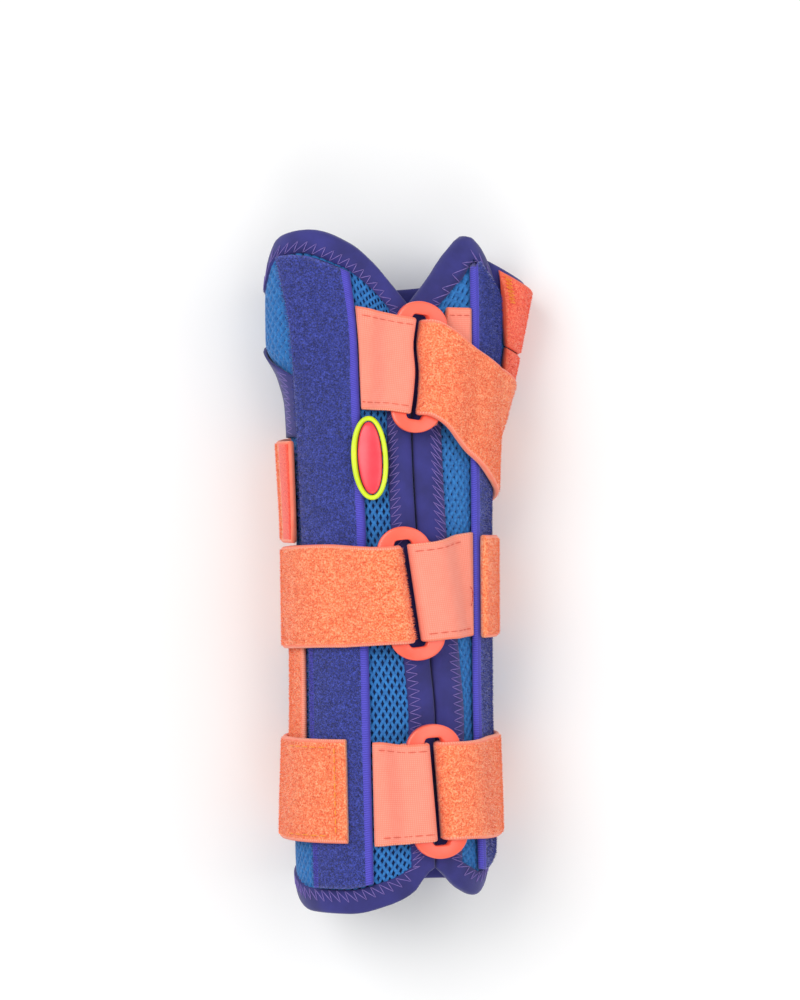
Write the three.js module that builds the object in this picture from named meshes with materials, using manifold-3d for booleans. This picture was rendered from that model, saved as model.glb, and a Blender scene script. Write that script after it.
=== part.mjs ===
// A small left thumb spica splint, lying on its palmar side, as an assembly of closed solids.
// Lengths are millimetres. +Y runs to the distal end, +X to the radial side, where the thumb sleeve is,
// and +Z up through the dorsal side. A turn is an angle round the wrap in degrees: 0 on the radial side,
// 90 on the dorsal side, 180 on the ulnar side and 270 on the palmar side.
import * as THREE from "three";
import Module from "manifold-3d";

const wasm = await Module();
wasm.setup();

// The wrap
const splintLength = 206;
const handWidth = 71;
const forearmDepth = 50;
const meshWall = 3;
const palmFlattening = 2.5;
const seamGap = 0.6;

// The edge tape
const tapeWidth = 6.3;
const tapeProud = 0.6;
const sideTapeThickness = 0.9;

// The pile strips
const pileThickness = 1.8;
const sidePileThickness = 1.7;
const sidePileLength = 38;
const sidePileGap = 2.4;
const sidePileMiddle = -0.369;
const sidePileOuterTurn = 206;

// The straps, their webs and their rings
const strapWidth = 31;
const strapThickness = 1.8;
const foldWidth = 29.2;
const webThickness = 1.2;
const ringLength = 40;
const ringWidth = 14.4;
const ringSlotLength = 32;
const ringSlotWidth = 5.6;
const ringThickness = 2.6;
const ringBevel = 0.28;
const foldTail = 1.2;
const foldLead = 1.5;
const foldOver = 0.4;
const foldBends = [0, 30, 60, 90, 120, 150, 180];
const strapLanding = 12;
const webLandingLeast = 3;
const webFlatEnd = 4;

// The rings: across as a share of the width, along as a share of half the length, and tilt in degrees.
const rings = {
  distal: { across: 0.0845, along: 0.5893, tilt: 8.9 },
  middle: { across: 0.0507, along: -0.067, tilt: -7 },
  proximal: { across: 0.162, along: -0.6369, tilt: -3.8 },
};

// The thumb sleeve
const sleeveLength = 58;
const sleeveDiameter = 24.4;
const sleeveLean = 13.7;
const sleeveMouthSlant = 14.9;
const sleeveTip = { across: 0.4155, along: 0.9058 };
const sleeveRest = 0.6;
const sleeveHandWall = 21.3;
const upperStrapLength = 20.5;
const lowerStrapLength = 9.5;
const thumbStrapInset = 1.2;
const thumbStrapThickness = 1.7;

// The badge
const badgeLength = 25.2;
const badgeWidth = 10.4;
const badgeRimWidth = 1.5;
const badgeRimThickness = 1.9;
const badgeFieldThickness = 1.3;
const badgeTilt = -3;
const badgeAcross = -0.107;
const badgeBehindRing = 27.3;

const halfLength = splintLength / 2;
const sleeveTipX = sleeveTip.across * handWidth;
const sleeveTipY = sleeveTip.along * halfLength;
const webOfThumb = sleeveTipY - sleeveHandWall;

const clearance = 0.3;
const strapClearance = 0.5;
const foldClearance = 0.5;
const tapeGap = 0.6;
const pileLift = 0.6;
const roundStations = 40;
const alongStations = 20;
const plugRounds = 6;
const plugSides = 28;
const hoopSides = 28;
const degree = Math.PI / 180;

// Sections of the wrap from the finger end to the forearm end. at is a share of the length from the middle,
// wide and shift are shares of the distal width, deep is a share of the proximal depth,
// and square is the exponent of the rounded section.
const sections = [
  { at: 0.5, wide: 0.912, shift: -0.087, deep: 0.73, square: 2.6 },
  { at: 0.447, wide: 0.968, shift: -0.082, deep: 0.75, square: 2.6 },
  { at: 0.393, wide: 1.004, shift: -0.075, deep: 0.76, square: 2.6 },
  { at: 0.335, wide: 1.001, shift: -0.074, deep: 0.78, square: 2.6 },
  { at: 0.282, wide: 0.912, shift: -0.047, deep: 0.82, square: 2.5 },
  { at: 0.243, wide: 0.861, shift: -0.042, deep: 0.85, square: 2.5 },
  { at: 0.204, wide: 0.843, shift: -0.043, deep: 0.88, square: 2.4 },
  { at: 0.029, wide: 0.805, shift: -0.036, deep: 0.93, square: 2.3 },
  { at: -0.189, wide: 0.8, shift: -0.031, deep: 0.98, square: 2.3 },
  { at: -0.408, wide: 0.828, shift: -0.029, deep: 1.0, square: 2.3 },
  { at: -0.5, wide: 0.795, shift: -0.03, deep: 1.0, square: 2.3 },
];

// The dorsal seam: at as above, across is a share of the distal width.
const seamLine = [
  { at: 0.5, across: 0.05 },
  { at: 0.39, across: 0.05 },
  { at: 0.2, across: 0.063 },
  { at: 0.06, across: 0.084 },
  { at: -0.13, across: 0.143 },
  { at: -0.22, across: 0.165 },
  { at: -0.5, across: 0.165 },
];

// The two ends of the wrap. round is the share of the way round from the radial side of the seam,
// over the radial and palmar sides and back to the seam, and reach is a share of half the length.
const fingerEdge = [
  { round: 0, reach: 0.777 },
  { round: 0.039, reach: 0.85 },
  { round: 0.072, reach: 0.931 },
  { round: 0.106, reach: 0.984 },
  { round: 0.128, reach: 0.96 },
  { round: 0.164, reach: 0.896 },
  { round: 0.261, reach: 0.86 },
  { round: 0.428, reach: 0.84 },
  { round: 0.594, reach: 0.86 },
  { round: 0.678, reach: 0.905 },
  { round: 0.725, reach: 0.985 },
  { round: 0.775, reach: 1.0 },
  { round: 0.853, reach: 0.96 },
  { round: 0.919, reach: 0.896 },
  { round: 0.967, reach: 0.829 },
  { round: 1, reach: 0.777 },
];
const forearmEdge = [
  { round: 0, reach: -0.864 },
  { round: 0.014, reach: -0.883 },
  { round: 0.044, reach: -0.927 },
  { round: 0.094, reach: -0.956 },
  { round: 0.167, reach: -0.927 },
  { round: 0.25, reach: -0.942 },
  { round: 0.417, reach: -0.951 },
  { round: 0.583, reach: -0.951 },
  { round: 0.667, reach: -0.966 },
  { round: 0.758, reach: -1.0 },
  { round: 0.842, reach: -0.998 },
  { round: 0.914, reach: -0.971 },
  { round: 0.961, reach: -0.934 },
  { round: 0.986, reach: -0.881 },
  { round: 1, reach: -0.864 },
];

// Edges of the two long pile strips on the dorsal side of the wrap, as shares of the distal width.
const ulnarStripEdges = [
  { at: 0.46, outer: -0.499, inner: -0.207 },
  { at: 0.35, outer: -0.436, inner: -0.169 },
  { at: 0.19, outer: -0.405, inner: -0.148 },
  { at: 0.03, outer: -0.383, inner: -0.127 },
  { at: -0.13, outer: -0.355, inner: -0.117 },
  { at: -0.25, outer: -0.35, inner: -0.11 },
  { at: -0.46, outer: -0.334, inner: -0.097 },
];
const radialStripInnerEdge = [
  { at: 0.5, inner: 0.291 },
  { at: -0.19, inner: 0.304 },
  { at: -0.46, inner: 0.33 },
];
// The radial strip's outer edge as a turn: it stays above the thumb sleeve and comes further round below it.
const radialStripOuterEdge = [
  { at: 0.5, turn: 12 },
  { at: 0.22, turn: 14 },
  { at: 0.1, turn: -8 },
  { at: -0.5, turn: -8 },
];

// Courses of the strap centres after their rings, with along as a share of half the length.
const strapCourses = {
  distal: [
    { turn: 44, along: 0.515 },
    { turn: 29, along: 0.46 },
    { turn: 0, along: 0.378 },
    { turn: -45, along: 0.325 },
    { turn: -90, along: 0.283 },
    { turn: -135, along: 0.25 },
    { turn: -180, along: 0.228 },
    { turn: -208, along: 0.226 },
  ],
  middle: [
    { turn: 130, along: -0.076 },
    { turn: 180, along: -0.087 },
    { turn: 225, along: -0.08 },
    { turn: 270, along: -0.068 },
    { turn: 315, along: -0.058 },
    { turn: 360, along: -0.052 },
    { turn: 390, along: -0.05 },
  ],
  proximal: [
    { turn: 30, along: -0.637 },
    { turn: 0, along: -0.637 },
    { turn: -45, along: -0.641 },
    { turn: -90, along: -0.646 },
    { turn: -135, along: -0.65 },
    { turn: -180, along: -0.645 },
    { turn: -245, along: -0.638 },
  ],
};

// The thumb sleeve's width along it, as shares of its length and of its diameter.
const sleeveSwell = [
  { along: 0, wide: 0.56 },
  { along: 0.22, wide: 0.93 },
  { along: 0.4, wide: 1.0 },
  { along: 0.7, wide: 0.95 },
  { along: 1, wide: 0.885 },
];

const palette = {
  mesh: { color: 0x1f6fb8, roughness: 0.85 },
  tape: { color: 0x38378c, roughness: 0.7 },
  bluePile: { color: 0x2f3fa6, roughness: 0.95 },
  orangePile: { color: 0xff7d4c, roughness: 0.9 },
  thumbPile: { color: 0xff6040, roughness: 0.9 },
  web: { color: 0xff937c, roughness: 0.65 },
  ringPlastic: { color: 0xff5a40, roughness: 0.3 },
  badgeRim: { color: 0xd6ee14, roughness: 0.35 },
  badgeField: { color: 0xf8404e, roughness: 0.35 },
};

// Monotone cubic reading of one column of a table, by another column that rises or falls steadily.
function follow(table, key, column, value) {
  const sign = table[1][key] > table[0][key] ? 1 : -1;
  const last = table.length - 2;
  let n = 0;
  while (n < last && sign * value > sign * table[n + 1][key]) n += 1;
  const slope = (k) => {
    const i = Math.min(Math.max(k, 0), last);
    return (table[i + 1][column] - table[i][column]) / (table[i + 1][key] - table[i][key]);
  };
  const knotSlope = (k) => {
    const before = slope(k - 1);
    const after = slope(k);
    if (before * after <= 0) return 0;
    return (2 * before * after) / (before + after);
  };
  const low = table[n];
  const high = table[n + 1];
  const span = high[key] - low[key];
  const t = Math.min(Math.max((value - low[key]) / span, 0), 1);
  const blend = t * t * (3 - 2 * t);
  return (
    low[column] * (1 - blend) +
    high[column] * blend +
    span * t * (1 - t) * ((1 - t) * knotSlope(n) - t * knotSlope(n + 1))
  );
}

const smoothStep = (low, high, value) => THREE.MathUtils.smoothstep(value, low, high);

function sectionAt(y) {
  const at = y / splintLength;
  const rise = (follow(sections, "at", "deep", at) * forearmDepth + palmFlattening) / 2;
  return {
    centre: follow(sections, "at", "shift", at) * handWidth,
    half: (follow(sections, "at", "wide", at) * handWidth) / 2,
    rise,
    middle: rise - palmFlattening,
    power: follow(sections, "at", "square", at),
  };
}

function sectionRadius(section, turn, off) {
  const across = Math.abs(Math.cos(turn * degree) / (section.half + off));
  const up = Math.abs(Math.sin(turn * degree) / (section.rise + off));
  return (across ** section.power + up ** section.power) ** (-1 / section.power);
}

// A point off the wrap's outer face. The palmar side is flat, and swell lifts a point past the sleeve's base.
function wrapPoint(turn, y, off, swell = 0) {
  const section = sectionAt(y);
  const radius = sectionRadius(section, turn, off + swell);
  return new THREE.Vector3(
    section.centre + radius * Math.cos(turn * degree),
    y,
    Math.max(section.middle + radius * Math.sin(turn * degree), -off),
  );
}

// The turn on the back of the wrap at a distance across.
function turnAcross(x, y, off = 0) {
  let low = 0;
  let high = 180;
  for (let n = 0; n < 30; n += 1) {
    const middle = (low + high) / 2;
    if (wrapPoint(middle, y, off).x > x) low = middle;
    else high = middle;
  }
  return (low + high) / 2;
}

function girth(y) {
  const { half, rise } = sectionAt(y);
  return Math.PI * (3 * (half + rise) - Math.sqrt((3 * half + rise) * (half + 3 * rise)));
}

function seamTurn(y) {
  return turnAcross(follow(seamLine, "at", "across", y / splintLength) * handWidth, y);
}

// A row's distance along: the same all round in the middle, and at one distance from the edges near the ends.
const evenShare = 0.6;
function rowPlace(along, from, to) {
  const free = halfLength * evenShare;
  const band = tapeWidth + tapeGap;
  const reference = (2 * along - 1) * halfLength;
  const ahead = halfLength - Math.abs(reference);
  const edge = reference > 0 ? to : -from;
  let reach = Math.abs(reference);
  if (ahead < band) reach = edge - ahead;
  else if (reach > free) reach = free + ((reach - free) / (halfLength - band - free)) * (edge - band - free);
  return Math.sign(reference) * reach;
}

// The place on the wrap at shares round and along it, both from 0 to 1.
function wrapPlace(round, along) {
  const from = follow(forearmEdge, "round", "reach", round) * halfLength;
  const to = follow(fingerEdge, "round", "reach", round) * halfLength;
  const y = rowPlace(along, from, to);
  const seamHalf = (seamGap / 2 / girth(y)) * 360;
  return { turn: seamTurn(y) - seamHalf - round * (360 - 2 * seamHalf), y };
}

// How far the thumb sleeve stands out of the wrap, along a ray from the middle of the section.
function sleeveSwellAt(turn, y) {
  const section = sectionAt(y);
  const lean = sleeveLean * degree;
  const along = sleeveLength - (sleeveTipY - y) / Math.cos(lean);
  if (along < 0 || along > sleeveLength) return 0;
  const radius = sleeveRadius(along);
  const x = sleeveTipX - (sleeveTipY - y) * Math.tan(lean) - section.centre;
  const z = sleeveRest + radius - section.middle;
  const dx = Math.cos(turn * degree);
  const dz = Math.sin(turn * degree);
  const near = x * dx + z * dz;
  const inside = near * near - (x * x + z * z - radius * radius);
  if (inside <= 0 || near <= 0) return 0;
  return Math.max(0, near + Math.sqrt(inside) - sectionRadius(section, turn, 0));
}

// The swell that a strap bridges: the largest near a place, so that stiff webbing doesn't dip round the base.
const bridge = { turned: 12, moved: 4, turnFade: 0.25, moveFade: 0.15 };
function bridgedSwell(turn, y) {
  let most = 0;
  for (const a of [-1, -0.5, 0, 0.5, 1]) {
    for (const b of [-1, 0, 1]) {
      const turned = a * bridge.turned;
      const moved = b * bridge.moved;
      const nearness = 1 - Math.abs(a) * bridge.turnFade - Math.abs(b) * bridge.moveFade;
      most = Math.max(most, sleeveSwellAt(turn + turned, y + moved) * nearness);
    }
  }
  return most;
}

function sleeveRadius(along) {
  return (follow(sleeveSwell, "along", "wide", along / sleeveLength) * sleeveDiameter) / 2;
}

// A point off the thumb sleeve. angle is 0 on the radial side and 90 at the top.
function sleevePoint(along, angle, off) {
  const lean = sleeveLean * degree;
  const radius = sleeveRadius(along) + off;
  const outward = radius * Math.cos(angle * degree);
  const back = sleeveLength - along;
  return new THREE.Vector3(
    sleeveTipX - back * Math.sin(lean) + outward * Math.cos(lean),
    sleeveTipY - back * Math.cos(lean) - outward * Math.sin(lean),
    sleeveRest + sleeveRadius(along) + radius * Math.sin(angle * degree),
  );
}

// How much the slanted mouth shortens the sleeve at an angle round it.
function mouthShortening(angle, off) {
  return (sleeveRadius(sleeveLength) + off) * Math.cos(angle * degree) * Math.tan(sleeveMouthSlant * degree);
}

// Closed geometry from points and triangles, turned so that its faces point out.
function closedGeometry(points, faces) {
  let volume = 0;
  for (const [a, b, c] of faces) {
    volume += points[a].dot(new THREE.Vector3().crossVectors(points[b], points[c]));
  }
  const index = faces.flatMap(([a, b, c]) => (volume < 0 ? [a, c, b] : [a, b, c]));
  const geometry = new THREE.BufferGeometry().setFromPoints(points);
  geometry.setIndex(index);
  return geometry;
}

// Shares from one value to another, with the even stations and the marked ones between them,
// so that neighbours' facets agree.
function stationsBetween(from, to, count, marked) {
  const near = 0.2 / count;
  const even = Array.from({ length: count + 1 }, (_, n) => n / count);
  const clear = even.filter((share) => marked.every((mark) => Math.abs(mark - share) > near));
  const within = [...clear, ...marked].filter((share) => share > from + 1e-6 && share < to - 1e-6);
  return [from, ...within.sort((a, b) => a - b), to];
}

// A sheet with two faces: place(i, j, side) gives its points, side 0 within and side 1 without.
function sheetGeometry(rows, columns, place) {
  const points = [];
  for (const side of [0, 1]) {
    for (let i = 0; i <= rows; i += 1) {
      for (let j = 0; j <= columns; j += 1) points.push(place(i / rows, j / columns, side));
    }
  }
  const spot = (i, j, side) => side * (rows + 1) * (columns + 1) + i * (columns + 1) + j;
  const faces = [];
  const quad = (a, b, c, d) => faces.push([a, b, c], [a, c, d]);
  for (let i = 0; i < rows; i += 1) {
    for (let j = 0; j < columns; j += 1) {
      quad(spot(i, j, 1), spot(i + 1, j, 1), spot(i + 1, j + 1, 1), spot(i, j + 1, 1));
      quad(spot(i, j, 0), spot(i, j + 1, 0), spot(i + 1, j + 1, 0), spot(i + 1, j, 0));
    }
    quad(spot(i, 0, 0), spot(i + 1, 0, 0), spot(i + 1, 0, 1), spot(i, 0, 1));
    quad(spot(i, columns, 1), spot(i + 1, columns, 1), spot(i + 1, columns, 0), spot(i, columns, 0));
  }
  for (let j = 0; j < columns; j += 1) {
    quad(spot(0, j, 1), spot(0, j + 1, 1), spot(0, j + 1, 0), spot(0, j, 0));
    quad(spot(rows, j, 0), spot(rows, j + 1, 0), spot(rows, j + 1, 1), spot(rows, j, 1));
  }
  return closedGeometry(points, faces);
}

// A ring closed both ways: place(i, j) gives a point at a share round the ring and a corner of its section.
function hoopGeometry(around, corners, place) {
  const points = [];
  for (let i = 0; i < around; i += 1) {
    for (let j = 0; j < corners; j += 1) points.push(place(i / around, j));
  }
  const spot = (i, j) => (i % around) * corners + (j % corners);
  const faces = [];
  for (let i = 0; i < around; i += 1) {
    for (let j = 0; j < corners; j += 1) {
      faces.push([spot(i, j), spot(i + 1, j), spot(i + 1, j + 1)]);
      faces.push([spot(i, j), spot(i + 1, j + 1), spot(i, j + 1)]);
    }
  }
  return closedGeometry(points, faces);
}

// A solid plug lofted through closed rounds with a flat fan at each end: place(i, j) gives its points.
function plugGeometry(rounds, around, place) {
  const points = [];
  const ends = [new THREE.Vector3(), new THREE.Vector3()];
  for (let i = 0; i <= rounds; i += 1) {
    for (let j = 0; j < around; j += 1) {
      const point = place(i / rounds, j / around);
      points.push(point);
      if (i === 0) ends[0].addScaledVector(point, 1 / around);
      if (i === rounds) ends[1].addScaledVector(point, 1 / around);
    }
  }
  points.push(...ends);
  const spot = (i, j) => i * around + (j % around);
  const faces = [];
  for (let j = 0; j < around; j += 1) {
    for (let i = 0; i < rounds; i += 1) {
      faces.push([spot(i, j), spot(i + 1, j), spot(i + 1, j + 1)]);
      faces.push([spot(i, j), spot(i + 1, j + 1), spot(i, j + 1)]);
    }
    faces.push([points.length - 2, spot(0, j), spot(0, j + 1)]);
    faces.push([points.length - 1, spot(rounds, j + 1), spot(rounds, j)]);
  }
  return closedGeometry(points, faces);
}

function toSolid(geometry) {
  const vertProperties = new Float32Array(geometry.getAttribute("position").array);
  const triVerts = new Uint32Array(geometry.index.array);
  return new wasm.Manifold(new wasm.Mesh({ numProp: 3, vertProperties, triVerts }));
}

function toGeometry(solid) {
  const { vertProperties, triVerts } = solid.getMesh();
  const geometry = new THREE.BufferGeometry();
  geometry.setAttribute("position", new THREE.BufferAttribute(new Float32Array(vertProperties), 3));
  geometry.setIndex(new THREE.BufferAttribute(new Uint32Array(triVerts), 1));
  return geometry;
}

const splint = new THREE.Group();

function addPiece(name, geometry, finish) {
  const material = new THREE.MeshStandardMaterial({ ...palette[finish], metalness: 0 });
  const piece = new THREE.Mesh(geometry, material);
  piece.name = name;
  splint.add(piece);
}

const tapeRound = tapeWidth / girth(0);
const tapeAlong = tapeWidth / splintLength;
const gapRound = clearance / girth(0);
const gapAlong = tapeGap / splintLength;
const bothEnds = (share) => [share, 1 - share];
const roundMarks = [tapeRound, tapeRound + gapRound].flatMap(bothEnds);
const alongMarks = [tapeAlong, tapeAlong + gapAlong].flatMap(bothEnds);

// A patch of the wrap between shares round and along it.
function wrapPatch(rounds, alongs, inner, outer) {
  const rows = stationsBetween(rounds[0], rounds[1], roundStations, roundMarks);
  const columns = stationsBetween(alongs[0], alongs[1], alongStations, alongMarks);
  return sheetGeometry(rows.length - 1, columns.length - 1, (i, j, side) => {
    const round = rows[Math.round(i * (rows.length - 1))];
    const { turn, y } = wrapPlace(round, columns[Math.round(j * (columns.length - 1))]);
    return wrapPoint(turn, y, side ? outer : inner);
  });
}

// A plug of the sleeve's shape. Its far end follows the slanted mouth, and its near end does if slanted.
function sleevePlug(from, to, off, slanted = false) {
  return toSolid(
    plugGeometry(plugRounds, plugSides, (i, j) => {
      const angle = j * 360;
      const start = from - (slanted ? mouthShortening(angle, off) : 0);
      return sleevePoint(start + (to - mouthShortening(angle, off) - start) * i, angle, off);
    }),
  );
}

// A plug of the wrap's shape between two distances along it.
function wrapPlug(from, to, off, rounds = 10, sides = plugSides) {
  return toSolid(plugGeometry(rounds, sides, (i, j) => wrapPoint(j * 360, from + (to - from) * i, off)));
}

const sleeveTapeFoot = sleeveLength - tapeWidth - clearance;
const pastMouth = sleeveLength + tapeWidth;
const sleeveOutside = sleevePlug(0, sleeveTapeFoot, 0);
const sleeveHollow = sleevePlug(-meshWall, pastMouth, -meshWall);
const sleeveRoom = sleevePlug(0, pastMouth, tapeProud + clearance);
const mouthRoom = sleevePlug(sleeveTapeFoot, pastMouth, tapeProud + clearance, true);
// The share round the wrap where the sleeve parts the distal tape in two
const sleeveRound = 0.205;

function makeBody() {
  const inset = [tapeRound + gapRound, 1 - tapeRound - gapRound];
  const between = [tapeAlong + gapAlong, 1 - tapeAlong - gapAlong];
  const shell = toSolid(wrapPatch(inset, between, -meshWall, 0)).subtract(mouthRoom);
  const joined = shell.add(sleeveOutside);
  const handHollow = wrapPlug(-halfLength - tapeWidth, webOfThumb, -meshWall - 2 * clearance);
  const open = joined.subtract(sleeveHollow).subtract(handHollow);
  addPiece("body_mesh", toGeometry(open), "mesh");
}

// The edge tape folds over the mesh, so it stands proud of both faces.
function makeTapes() {
  const inner = -meshWall - tapeProud;
  const finger = [1 - tapeAlong, 1];
  const sides = [tapeAlong + gapAlong, 1 - tapeAlong - gapAlong];
  const radial = toSolid(wrapPatch([0, sleeveRound], finger, inner, tapeProud)).subtract(sleeveRoom);
  addPiece("binding_hand_radial", toGeometry(radial), "tape");
  const ulnar = toSolid(wrapPatch([sleeveRound, 1], finger, inner, tapeProud)).subtract(sleeveRoom);
  addPiece("binding_hand_ulnar", toGeometry(ulnar), "tape");
  addPiece("binding_forearm", wrapPatch([0, 1], [0, tapeAlong], inner, tapeProud), "tape");
  addPiece("binding_seam_radial", wrapPatch([0, tapeRound], sides, inner, tapeProud), "tape");
  addPiece("binding_seam_ulnar", wrapPatch([1 - tapeRound, 1], sides, inner, tapeProud), "tape");
}

function makeSleeveTape() {
  const corners = [
    { back: tapeWidth, off: -meshWall - tapeProud },
    { back: tapeWidth, off: tapeProud },
    { back: 0, off: tapeProud },
    { back: 0, off: -meshWall - tapeProud },
  ];
  const geometry = hoopGeometry(hoopSides, corners.length, (i, j) => {
    const angle = i * 360;
    const { back, off } = corners[j];
    return sleevePoint(sleeveLength - mouthShortening(angle, off) - back, angle, off);
  });
  addPiece("binding_thumb", geometry, "tape");
}

// The band of tape at the waist, from just past the ulnar side up to the ulnar pile strip.
// Its low end and the tops of its outer and inner edges are shares of half the length.
const waistBand = { low: 0.388, outerTop: 0.689, innerTop: 0.563, outerTurn: 204 };
function makeSideTape() {
  const geometry = sheetGeometry(9, 8, (i, j, side) => {
    const top = waistBand.outerTop + (waistBand.innerTop - waistBand.outerTop) * i;
    const y = (waistBand.low + (top - waistBand.low) * j) * halfLength;
    const inner = ulnarStripTurn(y, "outer") + turnOf(clearance, y);
    const turn = waistBand.outerTurn + (inner - waistBand.outerTurn) * i;
    return wrapPoint(turn, y, pileLift + (side ? sideTapeThickness : 0));
  });
  addPiece("binding_side", geometry, "tape");
}

function turnOf(length, y) {
  return (length / girth(y)) * 360;
}

function ulnarStripTurn(y, edge) {
  return turnAcross(follow(ulnarStripEdges, "at", edge, y / splintLength) * handWidth, y);
}

function radialStripTurn(y) {
  return turnAcross(follow(radialStripInnerEdge, "at", "inner", y / splintLength) * handWidth, y);
}

function radialOuterTurn(y) {
  return follow(radialStripOuterEdge, "at", "turn", y / splintLength);
}

// The share round the wrap of a turn at a distance along it.
function roundOf(turn, y) {
  return (seamTurn(y) - turn) / 360;
}

// A pile strip between two edges given as turns, ending against the tape at both ends of the wrap.
const nearEnd = 0.9 * halfLength;
const stripEndGap = 1.5;
function pileStrip(lowEdge, highEdge) {
  const inset = tapeWidth + stripEndGap;
  return sheetGeometry(alongStations + 2, 4, (i, j, side) => {
    const turnNear = (y) => lowEdge(y) + (highEdge(y) - lowEdge(y)) * j;
    const roundTop = (roundOf(turnNear(nearEnd), nearEnd) + 1) % 1;
    const roundEnd = (roundOf(turnNear(-nearEnd), -nearEnd) + 1) % 1;
    const top = follow(fingerEdge, "round", "reach", roundTop) * halfLength - inset;
    const end = follow(forearmEdge, "round", "reach", roundEnd) * halfLength + inset;
    const y = end + (top - end) * i;
    return wrapPoint(turnNear(y), y, pileLift + (side ? pileThickness : 0));
  });
}

function makePileStrips() {
  const ulnar = pileStrip(
    (y) => ulnarStripTurn(y, "outer"),
    (y) => ulnarStripTurn(y, "inner"),
  );
  addPiece("pile_strip_ulnar", ulnar, "bluePile");
  addPiece("pile_strip_radial", pileStrip(radialStripTurn, radialOuterTurn), "bluePile");
  const side = sheetGeometry(6, 5, (i, j, face) => {
    const y = sidePileMiddle * halfLength + (i - 0.5) * sidePileLength;
    const inner = ulnarStripTurn(y, "outer") + turnOf(sidePileGap, y);
    return wrapPoint(inner + (sidePileOuterTurn - inner) * j, y, pileLift + (face ? sidePileThickness : 0));
  });
  addPiece("pile_strip_side", side, "orangePile");
}

// Heights over the wrap of what is stacked at a ring.
const webTop = tapeProud + clearance + webThickness;
const ringLow = tapeProud + clearance + foldClearance + strapThickness;
const ringHigh = ringLow + ringThickness;

// A ring's frame: its place on the wrap, and the turn and distance along at offsets across and along it.
function ringFrame(name) {
  const along = rings[name].along * halfLength;
  const tilt = rings[name].tilt * degree;
  const turn = turnAcross(rings[name].across * handWidth, along, (ringLow + ringHigh) / 2);
  const step = turnOf(1, along);
  return {
    along,
    turn,
    spot: (over, up) => ({
      turn: turn - (over * Math.cos(tilt) + up * Math.sin(tilt)) * step,
      y: along - over * Math.sin(tilt) + up * Math.cos(tilt),
    }),
  };
}

function ovalPoint(share, halfWidth, halfLength, square) {
  const angle = share * 2 * Math.PI;
  const bend = (value) => Math.sign(value) * Math.abs(value) ** (2 / square);
  return { over: halfWidth * bend(Math.cos(angle)), up: halfLength * bend(Math.sin(angle)) };
}

// A point of a ring's outline, which is round at its ends and nearly straight along its sides.
const ringSideShare = 0.25;
function ringOutline(share) {
  const across = Math.cos(share * 2 * Math.PI);
  const along = Math.sin(share * 2 * Math.PI);
  const straight = (ringLength - ringWidth) / 2;
  return {
    over: (ringWidth / 2) * across,
    up: (ringWidth / 2) * along + straight * Math.max(-1, Math.min(1, along / ringSideShare)),
  };
}

function makeRing(name) {
  const frame = ringFrame(name);
  const corners = [
    { out: 0, high: 0 },
    { out: 1, high: 0 },
    { out: 1, high: 1 - ringBevel },
    { out: 1 - ringBevel, high: 1 },
    { out: ringBevel, high: 1 },
    { out: 0, high: 1 - ringBevel },
  ];
  const geometry = hoopGeometry(hoopSides, corners.length, (i, j) => {
    const within = ovalPoint(i, ringSlotWidth / 2, ringSlotLength / 2, 6);
    const without = ringOutline(i);
    const over = within.over + (without.over - within.over) * corners[j].out;
    const up = within.up + (without.up - within.up) * corners[j].out;
    const { turn, y } = frame.spot(over, up);
    return wrapPoint(turn, y, ringLow + ringThickness * corners[j].high);
  });
  addPiece("ring_" + name, geometry, "ringPlastic");
}

// The stations of a web or strap that folds under a ring's bar, up through the slot and over it.
// Each gives the distance from the middle of the ring and the height, on the near face and on the far face.
function foldStations(thickness) {
  const bar = ringSlotWidth / 2;
  const back = ringWidth / 2 + foldTail;
  const low = ringLow - foldClearance;
  const middle = (ringLow + ringHigh) / 2;
  const reach = ringThickness / 2 + foldClearance;
  const stations = [
    { near: [back, low], far: [back, low - thickness] },
    { near: [bar + foldLead, low], far: [bar + foldLead, low - thickness] },
  ];
  for (const bend of foldBends) {
    const inward = Math.sin(bend * degree);
    const up = -Math.cos(bend * degree);
    stations.push({
      near: [bar - foldClearance * inward, middle + reach * up],
      far: [bar - (foldClearance + thickness) * inward, middle + (reach + thickness) * up],
    });
  }
  const high = ringHigh + foldClearance;
  const over = ringWidth / 2 + foldOver;
  stations.push({ near: [over, high], far: [over, high + thickness] });
  return stations;
}

// A course over the wrap from the middle of a ring: even steps in turn and distance along.
// It leaves the slot square to the ring, and the sheet's own edges turn to follow it over a short stretch.
const squareLead = [0, 4];
const turnIn = { from: 22, to: 50 };
function courseOf(name, side, rows) {
  const frame = ringFrame(name);
  const start = squareLead.map((over) => frame.spot(over * side, 0));
  const rest = rows.map((row) => ({ turn: row.turn, y: row.along * halfLength }));
  const step = turnOf(1, start[0].y);
  const points = [...start, ...rest].map((spot) => new THREE.Vector3(spot.turn / step, spot.y, 0));
  const square = points[1].clone().sub(points[0]).normalize();
  const curve = new THREE.CatmullRomCurve3(points, false, "centripetal");
  curve.arcLengthDivisions = 800;
  const length = curve.getLength();
  return {
    length,
    // The turn and distance along, a distance past the middle of the ring and to one side of the course.
    at: (past, aside) => {
      const share = Math.min(Math.max(past / length, 0), 1);
      const point = curve.getPointAt(share);
      const tangent = curve.getTangentAt(share);
      const beyond = past < 0 ? past : Math.max(0, past - length);
      const turn = (point.x + tangent.x * beyond) * step;
      const turned = smoothStep(turnIn.from, turnIn.to, past);
      const facing = square.clone().lerp(tangent, turned).normalize();
      return {
        turn: turn - facing.y * aside * turnOf(1, point.y),
        y: point.y + tangent.y * beyond + facing.x * aside,
      };
    },
  };
}

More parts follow.
